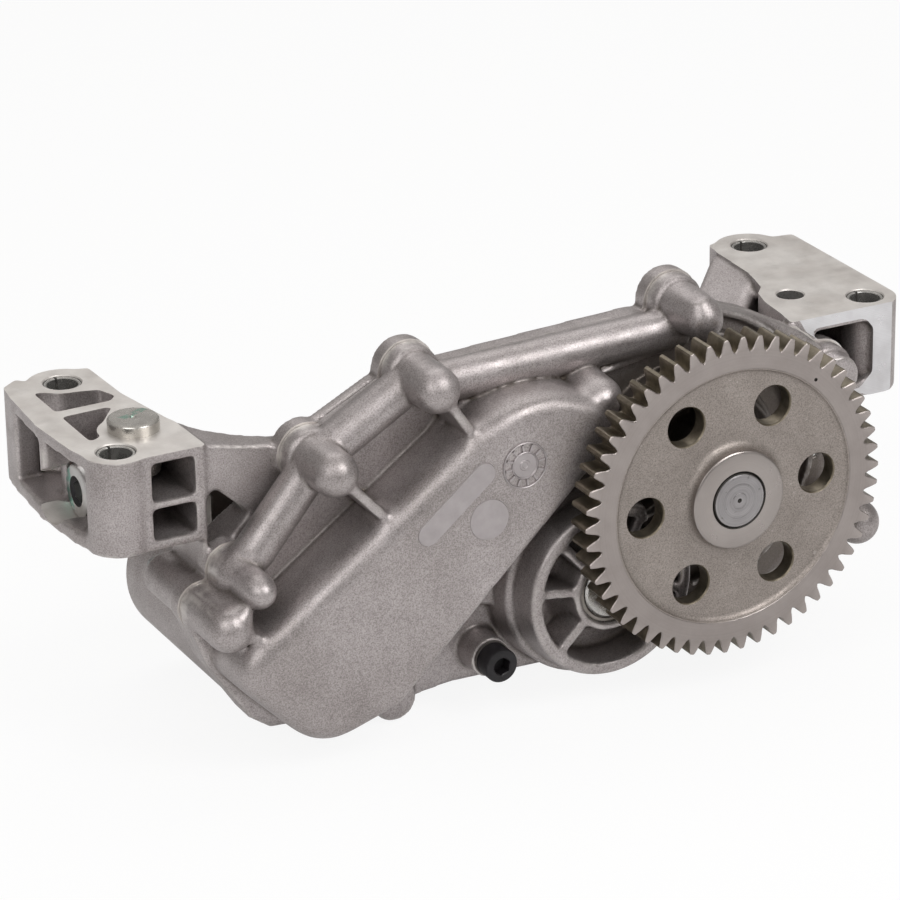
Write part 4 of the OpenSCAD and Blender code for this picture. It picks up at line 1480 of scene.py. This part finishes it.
@dataclass
class RearHousing:
    """Cast housing with both feet, the pump chamber, the suction pipe and the relief valve bore.

    The spans are where the cutters of the bores start and end along Y.
    """

    layout: Layout = LAYOUT
    voxel: float = 1.15
    smooth_rounds: int = 8
    seam_gap: float = 0.1
    bore_gap: float = 0.1
    above_deck: float = 8.0
    below_foot: float = -60.0
    foot_hole_r: float = 8.75
    foot_hole_edge: float = 0.5
    through_r: float = 7.25
    ring_depth: float = 16.0
    spare_at: Point2 = (163.2, 19.2)
    spare_r: float = 6.5
    spare_depth: float = 20.0
    spare_edge: float = 0.6
    pin_at: Point2 = (-175.4, 20.1)
    pin_r: float = 11.5
    pin_depth: float = 20.3
    foot_front_y: float = -13.0
    foot_front_skin: float = 0.05
    foot_front_cut: float = -22.0
    rear_bore_span: Span = (30.0, 90.0)
    suction_at: Point2 = (-117.0, -103.0)
    suction_r: float = 27.0
    suction_back: float = 88.0
    suction_span: Span = (60.0, 110.0)
    delivery_at: Point2 = (79.42, -108.52)
    delivery_r: float = 13.0
    delivery_back: float = 59.2
    delivery_span: Span = (40.0, 80.0)
    relief_at: Point2 = (34.0, -30.5)
    relief_side_x: float = -215.0
    relief_seat_r: float = 12.9
    relief_seat_x: float = -193.3
    relief_bore_r: float = 9.1
    relief_bore_x: float = -184.0

    def stocks(self) -> list[Stock]:
        """Lists the planes that are machined on the raw casting.

        Returns:
            The joint face, both decks and the two ports' faces.
        """
        return [
            Stock(Axis.Y, self.layout.parting_y, Cut.DOWN, low=(-176, -FAR, -FAR), high=(176, 0, 60)),
            Stock(Axis.Z, 0.0, Cut.UP, low=(-FAR, -FAR, -1), high=(-140, FAR, 1)),
            Stock(Axis.Z, 0.0, Cut.UP, low=(140, -FAR, -1), high=(FAR, FAR, 1)),
            Stock(Axis.Y, self.suction_back, Cut.UP, low=(-160, 80, -150), high=(-75, 120, -60)),
            Stock(Axis.Y, self.delivery_back, Cut.UP, low=(55, 50, -135), high=(105, 90, -85)),
        ]

    def front_face_tool(self, material: bpy.types.Material) -> bpy.types.Object:
        """Builds the cutter for the milled front of the right foot, clear of the joint flange.

        Args:
            material: Finish of the cut.

        Returns:
            The cutter.
        """
        outline = [(147, 3), (212, 3), (212, -50), (175.4, -50), (175.4, -31), (174.6, -24), (172.4, -17.6),
                   (168.5, -13), (163.5, -10.6), (157.5, -10.4), (152, -6)]
        edge = self.foot_front_y + self.foot_front_skin
        return prism("right_foot_front", outline, self.foot_front_cut, edge, Axis.Y, material)

    def tools(self) -> list[bpy.types.Object]:
        """All the machining of the housing.

        Returns:
            The cutting tools.
        """
        layout = self.layout
        milled, bored = FINISHES.get(MILLED), FINISHES.get(BORED)
        joint = Stock(Axis.Y, layout.parting_y, Cut.DOWN, low=(-176, -FAR, -FAR), high=(176, FAR, 60))
        tools = [joint.tool("joint_face", milled, self.seam_gap)]
        tools += [stock.tool(f"face_{k}", milled) for k, stock in enumerate(self.stocks()[1:])]
        tools.append(self.front_face_tool(FINISHES.get(MILLED_FACE)))

        def drill(name: str, at: Point2, radius: float, low: float) -> None:
            """Adds a hole that goes down from the deck."""
            tools.append(rod(name, at, radius, low, self.above_deck, Axis.Z, bored))

        counterbore_r = self.foot_hole_r + self.bore_gap
        for k, hole in enumerate(layout.foot_holes):
            drill(f"counterbore_{k}", hole, counterbore_r, -self.ring_depth)
            drill(f"bolt_hole_{k}", hole, self.through_r, self.below_foot)
            tools.append(chamfer(f"hole_edge_{k}", hole, counterbore_r, self.foot_hole_edge, milled))
        drill("spare_hole", self.spare_at, self.spare_r, -self.spare_depth)
        tools.append(chamfer("spare_edge", self.spare_at, self.spare_r, self.spare_edge, milled))
        drill("pin_hole", self.pin_at, self.pin_r, -self.pin_depth)
        outer = layout.bush_outer_r + self.bore_gap
        for k, at in enumerate((layout.drive, layout.driven)):
            tools.append(rod(f"rear_bore_{k}", at, outer, *self.rear_bore_span, material=bored))
        tools.append(rod("suction_bore", self.suction_at, self.suction_r, *self.suction_span, material=bored))
        tools.append(rod("delivery_bore", self.delivery_at, self.delivery_r, *self.delivery_span,
                         material=bored))
        tools.append(rod("relief_seat", self.relief_at, self.relief_seat_r, self.relief_side_x,
                         self.relief_seat_x, Axis.X, milled))
        tools.append(rod("relief_bore", self.relief_at, self.relief_bore_r, self.relief_side_x,
                         self.relief_bore_x, Axis.X, bored))
        return tools

    def build(self) -> bpy.types.Object:
        """Casts and machines the housing.

        Returns:
            The finished housing.
        """
        casting = Casting("rear_housing", self.voxel, self.smooth_rounds, stocks=self.stocks())
        housing = machine(casting.raw(CAST), self.tools(), "rear_housing_casting")
        return placed(crease(housing), Body.PUMP, "cast_aluminium", "rear_housing")


def chamfer(name: str, at: Point2, radius: float, size: float,
            material: bpy.types.Material) -> bpy.types.Object:
    """A cone that breaks the edge of a hole in the deck."""
    profile = [(0, -size - 2), (radius - 2, -size - 2), (radius + 2 * size, size), (0, size)]
    return lathe(name, profile, at, Axis.Z, 64, [material])


@dataclass
class DriveGear:
    """Spur gear: toothed rim from one repeated tooth, turned web with lightening holes, hub."""

    layout: Layout = LAYOUT
    teeth: int = 54
    module: float = 2.75
    phase: float = 187.08
    rim_inner_r: float = 61.0
    recess: float = 2.6
    back_recess: float = 3.0
    hub_r: float = 23.5
    hub_proud: float = 4.0
    back_proud: float = 1.5
    hole_pcr: float = 44.9
    hole_r: float = 9.3
    hole_phase: float = 122.12
    holes: int = 6
    punch_at: Point2 = (119.5, -2.6)
    punch_r: float = 0.9
    punch_depth: float = 0.8
    edge: float = 0.4
    bore_edge: float = 0.6
    pressure_angle: float = 20.0
    backlash: float = 0.1
    # The tooth: its height, the flank's stations over the root, then how its tip and root are eased
    tooth_h: float = 7.0
    flank_steps: tuple[float, ...] = (0.9, 1.9, 3.2, 4.4, 5.6)
    tip_break: float = 0.45
    corner_turn: float = 0.22
    root_turn: float = 0.55
    root_rise: float = 0.12

    @property
    def tip_r(self) -> float:
        """Radius over the teeth."""
        return (self.teeth + 2) * self.module / 2

    def half_angle(self, radius: float) -> float:
        """Works out half the tooth's width at a radius.

        Args:
            radius: The radius in millimetres.

        Returns:
            Half the width, as an angle in degrees.
        """
        pitch = self.teeth * self.module / 2
        base = pitch * math.cos(math.radians(self.pressure_angle))

        def involute(cosine: float) -> float:
            """The involute function of the angle with a cosine."""
            turn = math.acos(min(1.0, cosine))
            return math.tan(turn) - turn

        thick = math.pi * self.module / 2 - self.backlash
        return math.degrees(thick / (2 * pitch) + involute(base / pitch) - involute(base / max(radius, base)))

    def tooth_outline(self) -> list[Point2]:
        """Outline of one tooth and its gap from one sector edge to the other, as (angle, radius).

        Returns:
            The outline's points.
        """
        root = self.tip_r - self.tooth_h
        radii = [*(root + step for step in self.flank_steps), self.tip_r - self.tip_break]
        side = [(self.half_angle(r), r) for r in radii]
        gap = 180.0 / self.teeth
        side[0] = (side[0][0] + self.corner_turn, side[0][1])
        tip = (self.half_angle(self.tip_r) - self.corner_turn, self.tip_r)
        foot = (min(gap - 0.05, side[0][0] + self.root_turn), root + self.root_rise)
        half = [(gap, root), foot, *side, tip]
        return [(-a, r) for a, r in half] + [(a, r) for a, r in reversed(half)]

    def tooth(self) -> bpy.types.Object:
        """Builds the sector mesh of one tooth, with broken edges.

        Returns:
            The sector, round the axis at the origin, its flanks marked.
        """
        outline = [Vector(polar(r, a)) for a, r in self.tooth_outline()]
        gap = 180.0 / self.teeth
        inset = []
        for k, point in enumerate(outline):
            before = outline[max(0, k - 1)]
            after = outline[min(len(outline) - 1, k + 1)]
            way = (after - before).normalized()
            if k in (0, len(outline) - 1):
                inset.append(point - point.normalized() * self.edge)
            else:
                inset.append(point + Vector((-way.y, way.x)) * self.edge)
        front, back = self.layout.gear_y, self.layout.gear_back_y
        inner = [Vector(polar(self.rim_inner_r + self.bore_edge, a)) for a in (-gap, 0, gap)]
        core = [Vector(polar(self.rim_inner_r, a)) for a in (-gap, 0, gap)]
        sheet = bmesh.new()
        marked = sheet.faces.layers.bool.new("marked")

        def row(points: Sequence[Vector], y: float) -> list[bmesh.types.BMVert]:
            """Draws an outline at a place along the gear's axis."""
            return [sheet.verts.new(Vector((p.x, y, p.y)) * MM) for p in points]

        def band(a: Sequence[bmesh.types.BMVert], b: Sequence[bmesh.types.BMVert], flag: bool) -> None:
            """Fills the faces between two rows, marked or not."""
            for k in range(len(a) - 1):
                face = sheet.faces.new([a[k], a[k + 1], b[k + 1], b[k]])
                face[marked] = flag

        rows = [row(inset, front), row(outline, front + self.edge), row(outline, back - self.edge),
                row(inset, back)]
        band(rows[0], rows[1], False)
        band(rows[1], rows[2], True)
        band(rows[2], rows[3], False)
        front_in, back_in = row(inner, front), row(inner, back)
        front_core, back_core = row(core, front + self.bore_edge), row(core, back - self.bore_edge)
        band(front_in, front_core, False)
        band(front_core, back_core, False)
        band(back_core, back_in, False)
        for cap, bore in ((rows[0], front_in), (rows[3], back_in)):
            sheet.faces.new([*cap, *reversed(bore)])
        bmesh.ops.triangulate(sheet, faces=[f for f in sheet.faces if len(f.verts) > 4])
        return mesh_object("tooth_sector", sheet)

    def rim(self) -> bpy.types.Object:
        """The toothed rim, repeated by the ring tree."""
        x, z = self.layout.drive
        return RING_GRAPH.run(self.tooth(), "gear_rim", {
            "Count": self.teeth, "Phase": math.radians(self.phase), "Centre": Vector((x, 0, z)) * MM,
            "Body finish": FINISHES.get(RIM), "Mark finish": FINISHES.get(FLANK)})

    def web(self) -> bpy.types.Object:
        """The web and hub, turned from one profile and drilled.

        Returns:
            The web.
        """
        front, back = self.layout.gear_y, self.layout.gear_back_y
        face, rear = front + self.recess, back - self.back_recess
        bore, hub, edge = self.layout.shaft_r, self.hub_r, self.rim_inner_r
        nose, tail = front - self.hub_proud, back + self.back_proud
        profile = [
            (bore + 0.5, nose), (hub - 1.1, nose), (hub - 0.5, nose + 0.2), (hub - 0.1, nose + 0.6),
            (hub, nose + 1.2), (hub + 0.1, nose + 2.4), (hub + 0.6, nose + 4.0), (hub + 1.7, nose + 5.3),
            (hub + 3.3, face - 0.25), (hub + 5.4, face), (edge - 5.2, face), (edge - 3.4, face - 0.12),
            (edge - 2.0, face - 0.5), (edge - 1.0, face - 1.15), (edge - 0.4, face - 1.8),
            (edge - 0.05, front + 0.25), (edge + 0.5, front + 0.3), (edge + 1.5, face), (edge + 1.5, rear),
            (edge - 0.4, rear + 0.8), (edge - 2.0, rear), (hub + 2.0, rear), (hub, rear + 1.5),
            (hub, tail - 0.6), (hub - 0.6, tail), (bore + 0.5, tail), (bore, tail - 0.5), (bore, nose + 0.5)]
        # The gap faces at the hub's bore take the painted shade.
        web_faces, hub_faces, gap_faces = 0, 1, 2
        bands = [*[hub_faces] * 5, *[web_faces] * 18, *[hub_faces] * 4, gap_faces]
        web_finish, hub_finish = FINISHES.get(WEB), FINISHES.get(HUB)
        web = lathe("gear_web_blank", profile, self.layout.drive, segments=180,
                    materials=[web_finish, hub_finish, FINISHES.get(SHADOW_GAP)], bands=bands)
        tools, r = [], self.hole_r
        hole = [(0, face - 2), (r + 2.5, face - 2), (r + 0.1, face + 0.6), (r, face + 0.9), (r, rear - 0.5),
                (r + 1.5, rear + 1), (0, rear + 1)]
        for k in range(self.holes):
            a, b = polar(self.hole_pcr, self.hole_phase + 360 / self.holes * k)
            at = (self.layout.drive[0] + a, self.layout.drive[1] + b)
            tools.append(lathe(f"lightening_hole_{k}", hole, at, segments=56,
                               materials=[FINISHES.get(FLANK)]))
        return machine(web, tools, "gear_web")

    def build(self) -> bpy.types.Object:
        """Builds the whole gear.

        Returns:
            The finished gear.
        """
        front = self.layout.gear_y
        # The punch dot takes the painted shade.
        dot = rod("punch_dot", self.punch_at, self.punch_r, front - 1, front + self.punch_depth,
                  material=FINISHES.get(SHADOW_GAP), segments=16)
        gear = joined("drive_gear_finished", [machine(self.rim(), [dot], "gear_rim_marked"), self.web()])
        return placed(crease(gear, 28), Body.DRIVE, "gear_steel", "drive_gear")


@dataclass
class DriveShaft:
    """Drive shaft with a turned end, seen in the gear's hub."""

    layout: Layout = LAYOUT
    nose_y: float = -78.4
    tail_y: float = 67.2
    bore_gap: float = 0.12

    def build(self) -> bpy.types.Object:
        """Turns the shaft.

        Returns:
            The finished shaft.
        """
        r, nose, tail = self.layout.shaft_r, self.nose_y, self.tail_y
        body_r = r - self.bore_gap
        profile = [(0, nose + 1.6), (0.7, nose + 0.8), (1.1, nose + 0.15), (3.4, nose), (3.8, nose + 0.2),
                   (4.4, nose), (7.9, nose), (8.3, nose + 0.16), (8.8, nose), (r - 1.4, nose),
                   (r - 0.9, nose + 0.25), (r - 0.45, nose + 0.9), (r - 0.4, nose + 3.0),
                   (body_r, nose + 3.4), (body_r, tail - 1), (r - 1, tail), (0, tail)]
        # The gap faces, in the centre hole and round the nose, take the painted shade.
        end_faces, body_faces, gap_faces = 0, 1, 2
        bands = [*[gap_faces] * 2, *[end_faces] * 8, *[gap_faces] * 2, *[body_faces] * 4]
        shaft = lathe("drive_shaft_finished", profile, self.layout.drive, segments=128,
                      materials=[FINISHES.get(SHAFT_END), FINISHES.get(GROUND), FINISHES.get(SHADOW_GAP)],
                      bands=bands)
        return placed(crease(shaft, 24), Body.DRIVE, "shaft_steel", "drive_shaft")


@dataclass
class CoverBolts:
    """Nine flanged hexagon bolts put in from behind."""

    places: tuple[Point2, ...] = (
        (-161, -75), (-108, -12.5), (-57.5, 17), (24, -3), (78, 25), (160, -25), (163, -93.5), (100, -122),
        (-72, -138))
    seat_y: float = -5.8
    long_seat_y: float = 26.0
    shank_r: float = 3.95
    shank_len: float = 18.0
    flange_r: float = 8.0
    hex_r: float = 7.0
    head_h: float = 7.0
    greatest_turn: float = 1.0
    seed: int = 7

    def bolt(self) -> bpy.types.Object:
        """One bolt with its seat at the origin and its head along +Y.

        Returns:
            The bolt.
        """
        origin = (0.0, 0.0)
        h, across, f, s = self.head_h, self.hex_r, self.flange_r, self.shank_r
        head = prism("hex_head", hexagon(origin, across), 1.0, h)
        crown = lathe("head_crown", [(0, -1), (across + 2, -1), (across + 2, h - 2.1), (across - 1.2, h),
                                     (0, h)], origin, segments=48)
        head = machine(head, [crown], "bolt_head", "INTERSECT")
        flange = lathe("bolt_flange", [(0, 0), (f - 0.3, 0), (f, 0.4), (f - 0.3, 1.0), (across - 0.6, 1.9),
                                       (0, 1.9)], origin, segments=48)
        end = -self.shank_len
        shank = lathe("bolt_shank", [(0, end), (s - 0.8, end), (s, end + 1), (s, 0.5), (0, 0.5)], origin,
                      segments=32)
        return joined("cover_bolt", [head, flange, shank])

    def build(self) -> bpy.types.Object:
        """Puts the bolts in.

        Returns:
            The bolts as one piece.
        """
        seats = [self.long_seat_y, *[self.seat_y] * (len(self.places) - 1)]
        places = [(x, seat, z) for (x, z), seat in zip(self.places, seats)]
        bolt = crease(self.bolt(), 30)
        bolts = SCATTER_GRAPH.run(points_object("bolt_places", places), "cover_bolts_finished", {
            "Piece": bolt, "Turn": self.greatest_turn, "Seed": self.seed, "Finish": FINISHES.get(BOLT)})
        bpy.data.objects.remove(bolt)
        return placed(bolts, Body.PUMP, "bolt_steel", "cover_bolts")


@dataclass
class MountingRings:
    """Split ring dowels pressed into the four mounting holes."""

    layout: Layout = LAYOUT
    outer_r: float = 8.75
    inner_r: float = 7.25
    depth: float = 16.0
    below_deck: float = 0.8
    edge: float = 0.4
    slit: float = 1.3
    seed: int = 3

    def build(self) -> bpy.types.Object:
        """Bends the rings and puts them in.

        Returns:
            The rings as one piece.
        """
        top, low, edge = -self.below_deck, -self.depth, self.edge
        inner, outer = self.inner_r, self.outer_r
        profile = [(inner, low), (outer, low), (outer, top - edge), (outer - edge, top), (inner + edge, top),
                   (inner, top - edge)]
        ring = lathe("ring_blank", profile, (0, 0), Axis.Z, 64)
        slit = block("ring_slit", (-self.slit / 2, 0, low - 1), (self.slit / 2, self.outer_r + 2, top + 1))
        ring = crease(machine(ring, [slit], "ring_dowel"), 30)
        places = [(x, y, 0.0) for x, y in self.layout.foot_holes]
        rings = SCATTER_GRAPH.run(points_object("ring_places", places), "mounting_rings_finished", {
            "Piece": ring, "Turn": 0.0, "Seed": self.seed, "Finish": FINISHES.get(GROUND)})
        bpy.data.objects.remove(ring)
        return placed(rings, Body.PUMP, "dowel_steel", "mounting_ring_dowels")


@dataclass
class LocatingPin:
    """Thick ground pin on the left foot, with a streak of marking paint."""

    at: Point2 = (-175.4, 20.1)
    radius: float = 11.75
    collar: float = 0.25
    proud: float = 5.7
    length: float = 26.0

    def build(self) -> bpy.types.Object:
        """Turns the pin.

        Returns:
            The finished pin.
        """
        sheet = PIN_FINISH.sheet()
        PaintMark(colour=(0.13, 0.40, 0.30), centre=(self.at[0] + 3.0, self.at[1] + 4.0, self.proud),
                  along=(0.93, 0.36, 0.0), across=(-0.36, 0.93, 0.0), half_length=9.0, half_width=2.0,
                  strength=0.55).over(sheet)
        r, top, low = self.radius, self.proud, self.proud - self.length
        shank = r - self.collar
        profile = [(0, low), (r - 1.05, low), (shank, low + 0.8), (shank, 0.0), (r, 0.02), (r, top - 1.1),
                   (shank, top - 0.6), (r - 1.0, top), (1.6, top), (1.1, top - 0.5), (0, top - 2.2)]
        pin = lathe("locating_pin_finished", profile, self.at, Axis.Z, 96, [sheet.material])
        return placed(crease(pin, 24), Body.PUMP, "pin_steel", "locating_pin")


@dataclass
class ReliefPlug:
    """Plug of the relief valve with a hexagon socket, on the left side of the left foot."""

    at: Point2 = (34.0, -30.5)
    face_x: float = -198.5
    flange_r: float = 12.4
    flange_t: float = 4.0
    thread_r: float = 8.9
    length: float = 15.5
    socket_r: float = 5.8
    socket_depth: float = 7.0
    socket_turn: float = 12.0

    def build(self) -> bpy.types.Object:
        """Turns the plug and cuts its socket.

        Returns:
            The finished plug.
        """
        sheet = PLUG_FINISH.sheet()
        PaintMark(colour=(0.10, 0.36, 0.27), centre=(self.face_x, self.at[0] + 7.5, self.at[1]),
                  along=(0.0, 0.2, 0.98), across=(0.0, 0.98, -0.2), half_length=11.0, half_width=3.0,
                  strength=0.75).over(sheet)
        x, r, seat = self.face_x, self.flange_r, self.face_x + self.flange_t
        thread, end, s = self.thread_r, self.face_x + self.length, self.socket_r
        profile = [(0, x), (r - 1.2, x), (r - 0.3, x + 0.4), (r, x + 1.2), (r, seat), (thread, seat),
                   (thread, end - 1), (thread - 1, end), (0, end)]
        blank = lathe("plug_blank", profile, self.at, Axis.X, 72, [sheet.material])
        socket = prism("plug_socket", hexagon(self.at, s, self.socket_turn), x - 1, x + self.socket_depth,
                       Axis.X, FINISHES.get(BOLT))
        edge = [(0, x - 1), (s + 2.2, x - 1), (s + 0.9, x + 0.5), (s - 0.8, x + 1.6), (0, x + 1.6)]
        cone = lathe("socket_edge", edge, self.at, Axis.X, 48, [FINISHES.get(BLACK)])
        plug = machine(blank, [socket, cone], "relief_plug_finished")
        return placed(crease(plug), Body.PUMP, "plug_steel", "relief_plug")


@dataclass
class SafetyPlug:
    """Black plug of the safety valve under the cover."""

    at: Point2 = (-28.5, -122.5)
    face_y: float = -47.5
    head_len: float = 9.6
    head_r: float = 8.1
    thread_r: float = 6.4
    length: float = 21.0
    socket_r: float = 4.4
    socket_depth: float = 6.0
    socket_turn: float = 20.0

    def build(self) -> bpy.types.Object:
        """Turns the plug and cuts its socket.

        Returns:
            The finished plug.
        """
        black = FINISHES.get(BLACK)
        y, r, seat = self.face_y, self.head_r, self.face_y + self.head_len
        thread, end, s = self.thread_r, self.face_y + self.length, self.socket_r
        profile = [(0, y), (r - 1.3, y), (r - 0.5, y + 0.3), (r, y + 1.1), (r, seat), (thread, seat),
                   (thread, end), (0, end)]
        blank = lathe("black_plug_blank", profile, self.at, Axis.Y, 64, [black])
        socket = prism("black_plug_socket", hexagon(self.at, s, self.socket_turn), y - 1,
                       y + self.socket_depth, Axis.Y, black)
        edge = [(0, y - 1), (s + 1.0, y - 1), (s - 1.0, y + 1.0), (0, y + 1.0)]
        cone = lathe("black_socket_edge", edge, self.at, Axis.Y, 48, [black])
        plug = machine(blank, [socket, cone], "safety_plug_finished")
        return placed(crease(plug), Body.PUMP, "black_steel", "safety_plug")


@dataclass
class KeptNodes:
    """CAD nodes whose shape stays, each with its finish."""

    finishes: dict[str, PlainFinish] = field(default_factory=lambda: {
        "drive_rotor": ROTOR, "driven_rotor": ROTOR, "driven_shaft": GROUND, "drive_front_bush": BRONZE,
        "drive_rear_bush": BRONZE, "driven_front_bush": BUSH_END, "driven_rear_bush": BRONZE,
        "thrust_washer": BRONZE, "gear_key": BOLT, "cover_dowels": GROUND, "relief_plug_seal": COPPER,
        "relief_spring": SPRING, "relief_piston": GROUND, "safety_plug_seal": DULL_SEAL,
        "safety_spring": SPRING, "safety_piston": GROUND, "shaft_end_caps": CAP})
    spare: PlainFinish = BOLT

    def dress(self) -> None:
        """Gives every CAD node a finish, also those that a piece stands for."""
        for name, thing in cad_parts.items():
            finish = self.finishes.get(name, self.spare)
            if not thing.data.materials:
                thing.data.materials.append(None)
            for slot in thing.material_slots:
                slot.material = FINISHES.get(finish)
            LOG.info("node %s: %s", name, finish.name)


@dataclass(frozen=True)
class Lamp:
    """A square soft lamp: how far right, up and towards the camera it stands, in metres, and its power."""

    name: str
    place: Point3
    size: float
    power: float


@dataclass
class Studio:
    """Camera, lamps, world and floor of the product photograph."""

    eye: Point3 = (-869.90, -1633.09, 736.64)
    right: Point3 = (0.886169, -0.463134, -0.014529)
    up: Point3 = (0.190928, 0.336397, 0.922163)
    back: Point3 = (-0.422198, -0.819966, 0.38653)
    lens: float = 175.42344
    sensor: float = 36.0
    clip_end: float = 40.0
    lamps: tuple[Lamp, ...] = (Lamp("key_right", (0.9, 0.75, 1.15), 0.8, 13.0),
                               Lamp("top_soft", (-0.1, 1.5, -0.2), 1.3, 6.5),
                               Lamp("fill_left", (-0.5, 0.4, 1.4), 1.0, 7.0))
    tent_colour: Colour = (1.0, 0.97, 0.94)
    tent_heights: Span = (-0.3, 0.9)
    tent_light: Span = (0.15, 0.49)
    floor_drop: float = 0.4
    floor_half: float = 8.0
    floor_tones: Span = (0.86, 0.9)
    floor_noise: float = 6.0
    floor_roughness: float = 0.7
    floor_seen: float = 0.9
    floor_mirrored: float = 0.2

    def camera(self) -> bpy.types.Object:
        """Places the camera as the photograph was taken.

        Returns:
            The camera.
        """
        data = bpy.data.cameras.new("photo_camera")
        data.lens = self.lens
        data.sensor_width = self.sensor
        data.sensor_fit = "HORIZONTAL"
        data.clip_end = self.clip_end
        camera = bpy.data.objects.new("photo_camera", data)
        turn = Matrix((self.right, self.up, self.back)).transposed().to_4x4()
        camera.matrix_world = Matrix.Translation(Vector(self.eye) * MM) @ turn
        bpy.context.scene.collection.objects.link(camera)
        bpy.context.scene.camera = camera
        return camera

    def light(self, lamp: Lamp) -> None:
        """Hangs a lamp that looks at the pump's middle.

        Args:
            lamp: The lamp.
        """
        data = bpy.data.lights.new(lamp.name, "AREA")
        data.size = lamp.size
        data.energy = lamp.power
        hung = bpy.data.objects.new(lamp.name, data)
        middle = (Vector(CAD_BOX[0]) + Vector(CAD_BOX[1])) / 2
        right, up, back = lamp.place
        offset = Vector(self.right) * right + Vector(self.up) * up + Vector(self.back) * back
        turn = offset.to_track_quat("Z", "Y").to_matrix().to_4x4()
        hung.matrix_world = Matrix.Translation(middle + offset) @ turn
        bpy.context.scene.collection.objects.link(hung)

    def world(self) -> None:
        """Sets a white world for the camera and a soft tent, brighter above, for the pump."""
        world = bpy.data.worlds.new("light_tent")
        bpy.context.scene.world = world
        world.use_nodes = True
        nodes, links = world.node_tree.nodes, world.node_tree.links
        background = nodes["Background"]
        place = nodes.new("ShaderNodeTexCoord")
        split = nodes.new("ShaderNodeSeparateXYZ")
        links.new(place.outputs["Generated"], split.inputs[0])
        height = nodes.new("ShaderNodeMapRange")
        for key, number in zip(RANGE_KEYS, (*self.tent_heights, *self.tent_light)):
            height.inputs[key].default_value = number
        links.new(split.outputs[2], height.inputs["Value"])
        path = nodes.new("ShaderNodeLightPath")
        seen = nodes.new("ShaderNodeMath")
        seen.operation = "MAXIMUM"
        links.new(path.outputs["Is Camera Ray"], seen.inputs[0])
        links.new(path.outputs["Is Transmission Ray"], seen.inputs[1])
        mix = nodes.new("ShaderNodeMix")
        mix.data_type = "FLOAT"
        links.new(seen.outputs[0], mix.inputs[MIX_SHARE])
        links.new(height.outputs[0], mix.inputs[MIX_NUMBERS[0]])
        mix.inputs[MIX_NUMBERS[1]].default_value = 1.0
        links.new(mix.outputs[0], background.inputs["Strength"])
        tint = nodes.new("ShaderNodeMix")
        tint.data_type = "RGBA"
        links.new(seen.outputs[0], tint.inputs[MIX_SHARE])
        for index, colour in zip(MIX_COLOURS, (self.tent_colour, WHITE)):
            tint.inputs[index].default_value = (*colour, 1.0)
        links.new(tint.outputs[MIX_RESULT], background.inputs["Color"])

    def floor(self) -> bpy.types.Object:
        """Lays a white floor that keeps a faint shadow.

        Returns:
            The floor.
        """
        material = bpy.data.materials.new("white_floor")
        material.use_nodes = True
        nodes, links = material.node_tree.nodes, material.node_tree.links
        shader = nodes["Principled BSDF"]
        grain = nodes.new("ShaderNodeTexNoise")
        grain.inputs["Scale"].default_value = self.floor_noise
        ramp = nodes.new("ShaderNodeValToRGB")
        for element, tone in zip(ramp.color_ramp.elements, self.floor_tones):
            element.color = (tone, tone, tone, 1.0)
        links.new(grain.outputs["Fac"], ramp.inputs[0])
        links.new(ramp.outputs[0], shader.inputs["Base Color"])
        shader.inputs["Roughness"].default_value = self.floor_roughness
        glow = nodes.new("ShaderNodeEmission")
        path = nodes.new("ShaderNodeLightPath")
        share = nodes.new("ShaderNodeMath")
        share.operation = "MULTIPLY"
        share.inputs[1].default_value = self.floor_seen
        links.new(path.outputs["Is Camera Ray"], share.inputs[0])
        mirror = nodes.new("ShaderNodeMath")
        mirror.operation = "MULTIPLY_ADD"
        mirror.inputs[1].default_value = self.floor_mirrored
        links.new(path.outputs["Is Glossy Ray"], mirror.inputs[0])
        links.new(share.outputs[0], mirror.inputs[2])
        mix = nodes.new("ShaderNodeMixShader")
        links.new(mirror.outputs[0], mix.inputs[0])
        links.new(shader.outputs[0], mix.inputs[1])
        links.new(glow.outputs[0], mix.inputs[2])
        links.new(mix.outputs[0], nodes["Material Output"].inputs["Surface"])
        low, half = CAD_BOX[0][2] - self.floor_drop * MM, self.floor_half
        corners = [(-half, -half, low), (half, -half, low), (half, half, low), (-half, half, low)]
        mesh = bpy.data.meshes.new("floor")
        mesh.from_pydata(corners, [], [(0, 1, 2, 3)])
        mesh.materials.append(material)
        floor = linked("floor", mesh)
        return floor

    def build(self) -> None:
        """Sets up the whole studio."""
        bpy.context.scene.view_settings.view_transform = "Standard"
        self.camera()
        self.world()
        self.floor()
        for lamp in self.lamps:
            self.light(lamp)


def main() -> None:
    """Builds the studio and every piece of the pump in order."""
    logging.basicConfig(level=logging.INFO, format="%(message)s")
    Studio().build()
    KeptNodes().dress()
    cover = FrontCover()
    cover.build()
    cover.clock()
    cover.pads()
    RearHousing().build()
    DriveGear().build()
    DriveShaft().build()
    CoverBolts().build()
    MountingRings().build()
    LocatingPin().build()
    ReliefPlug().build()
    SafetyPlug().build()


if __name__ == "__main__":
    main()
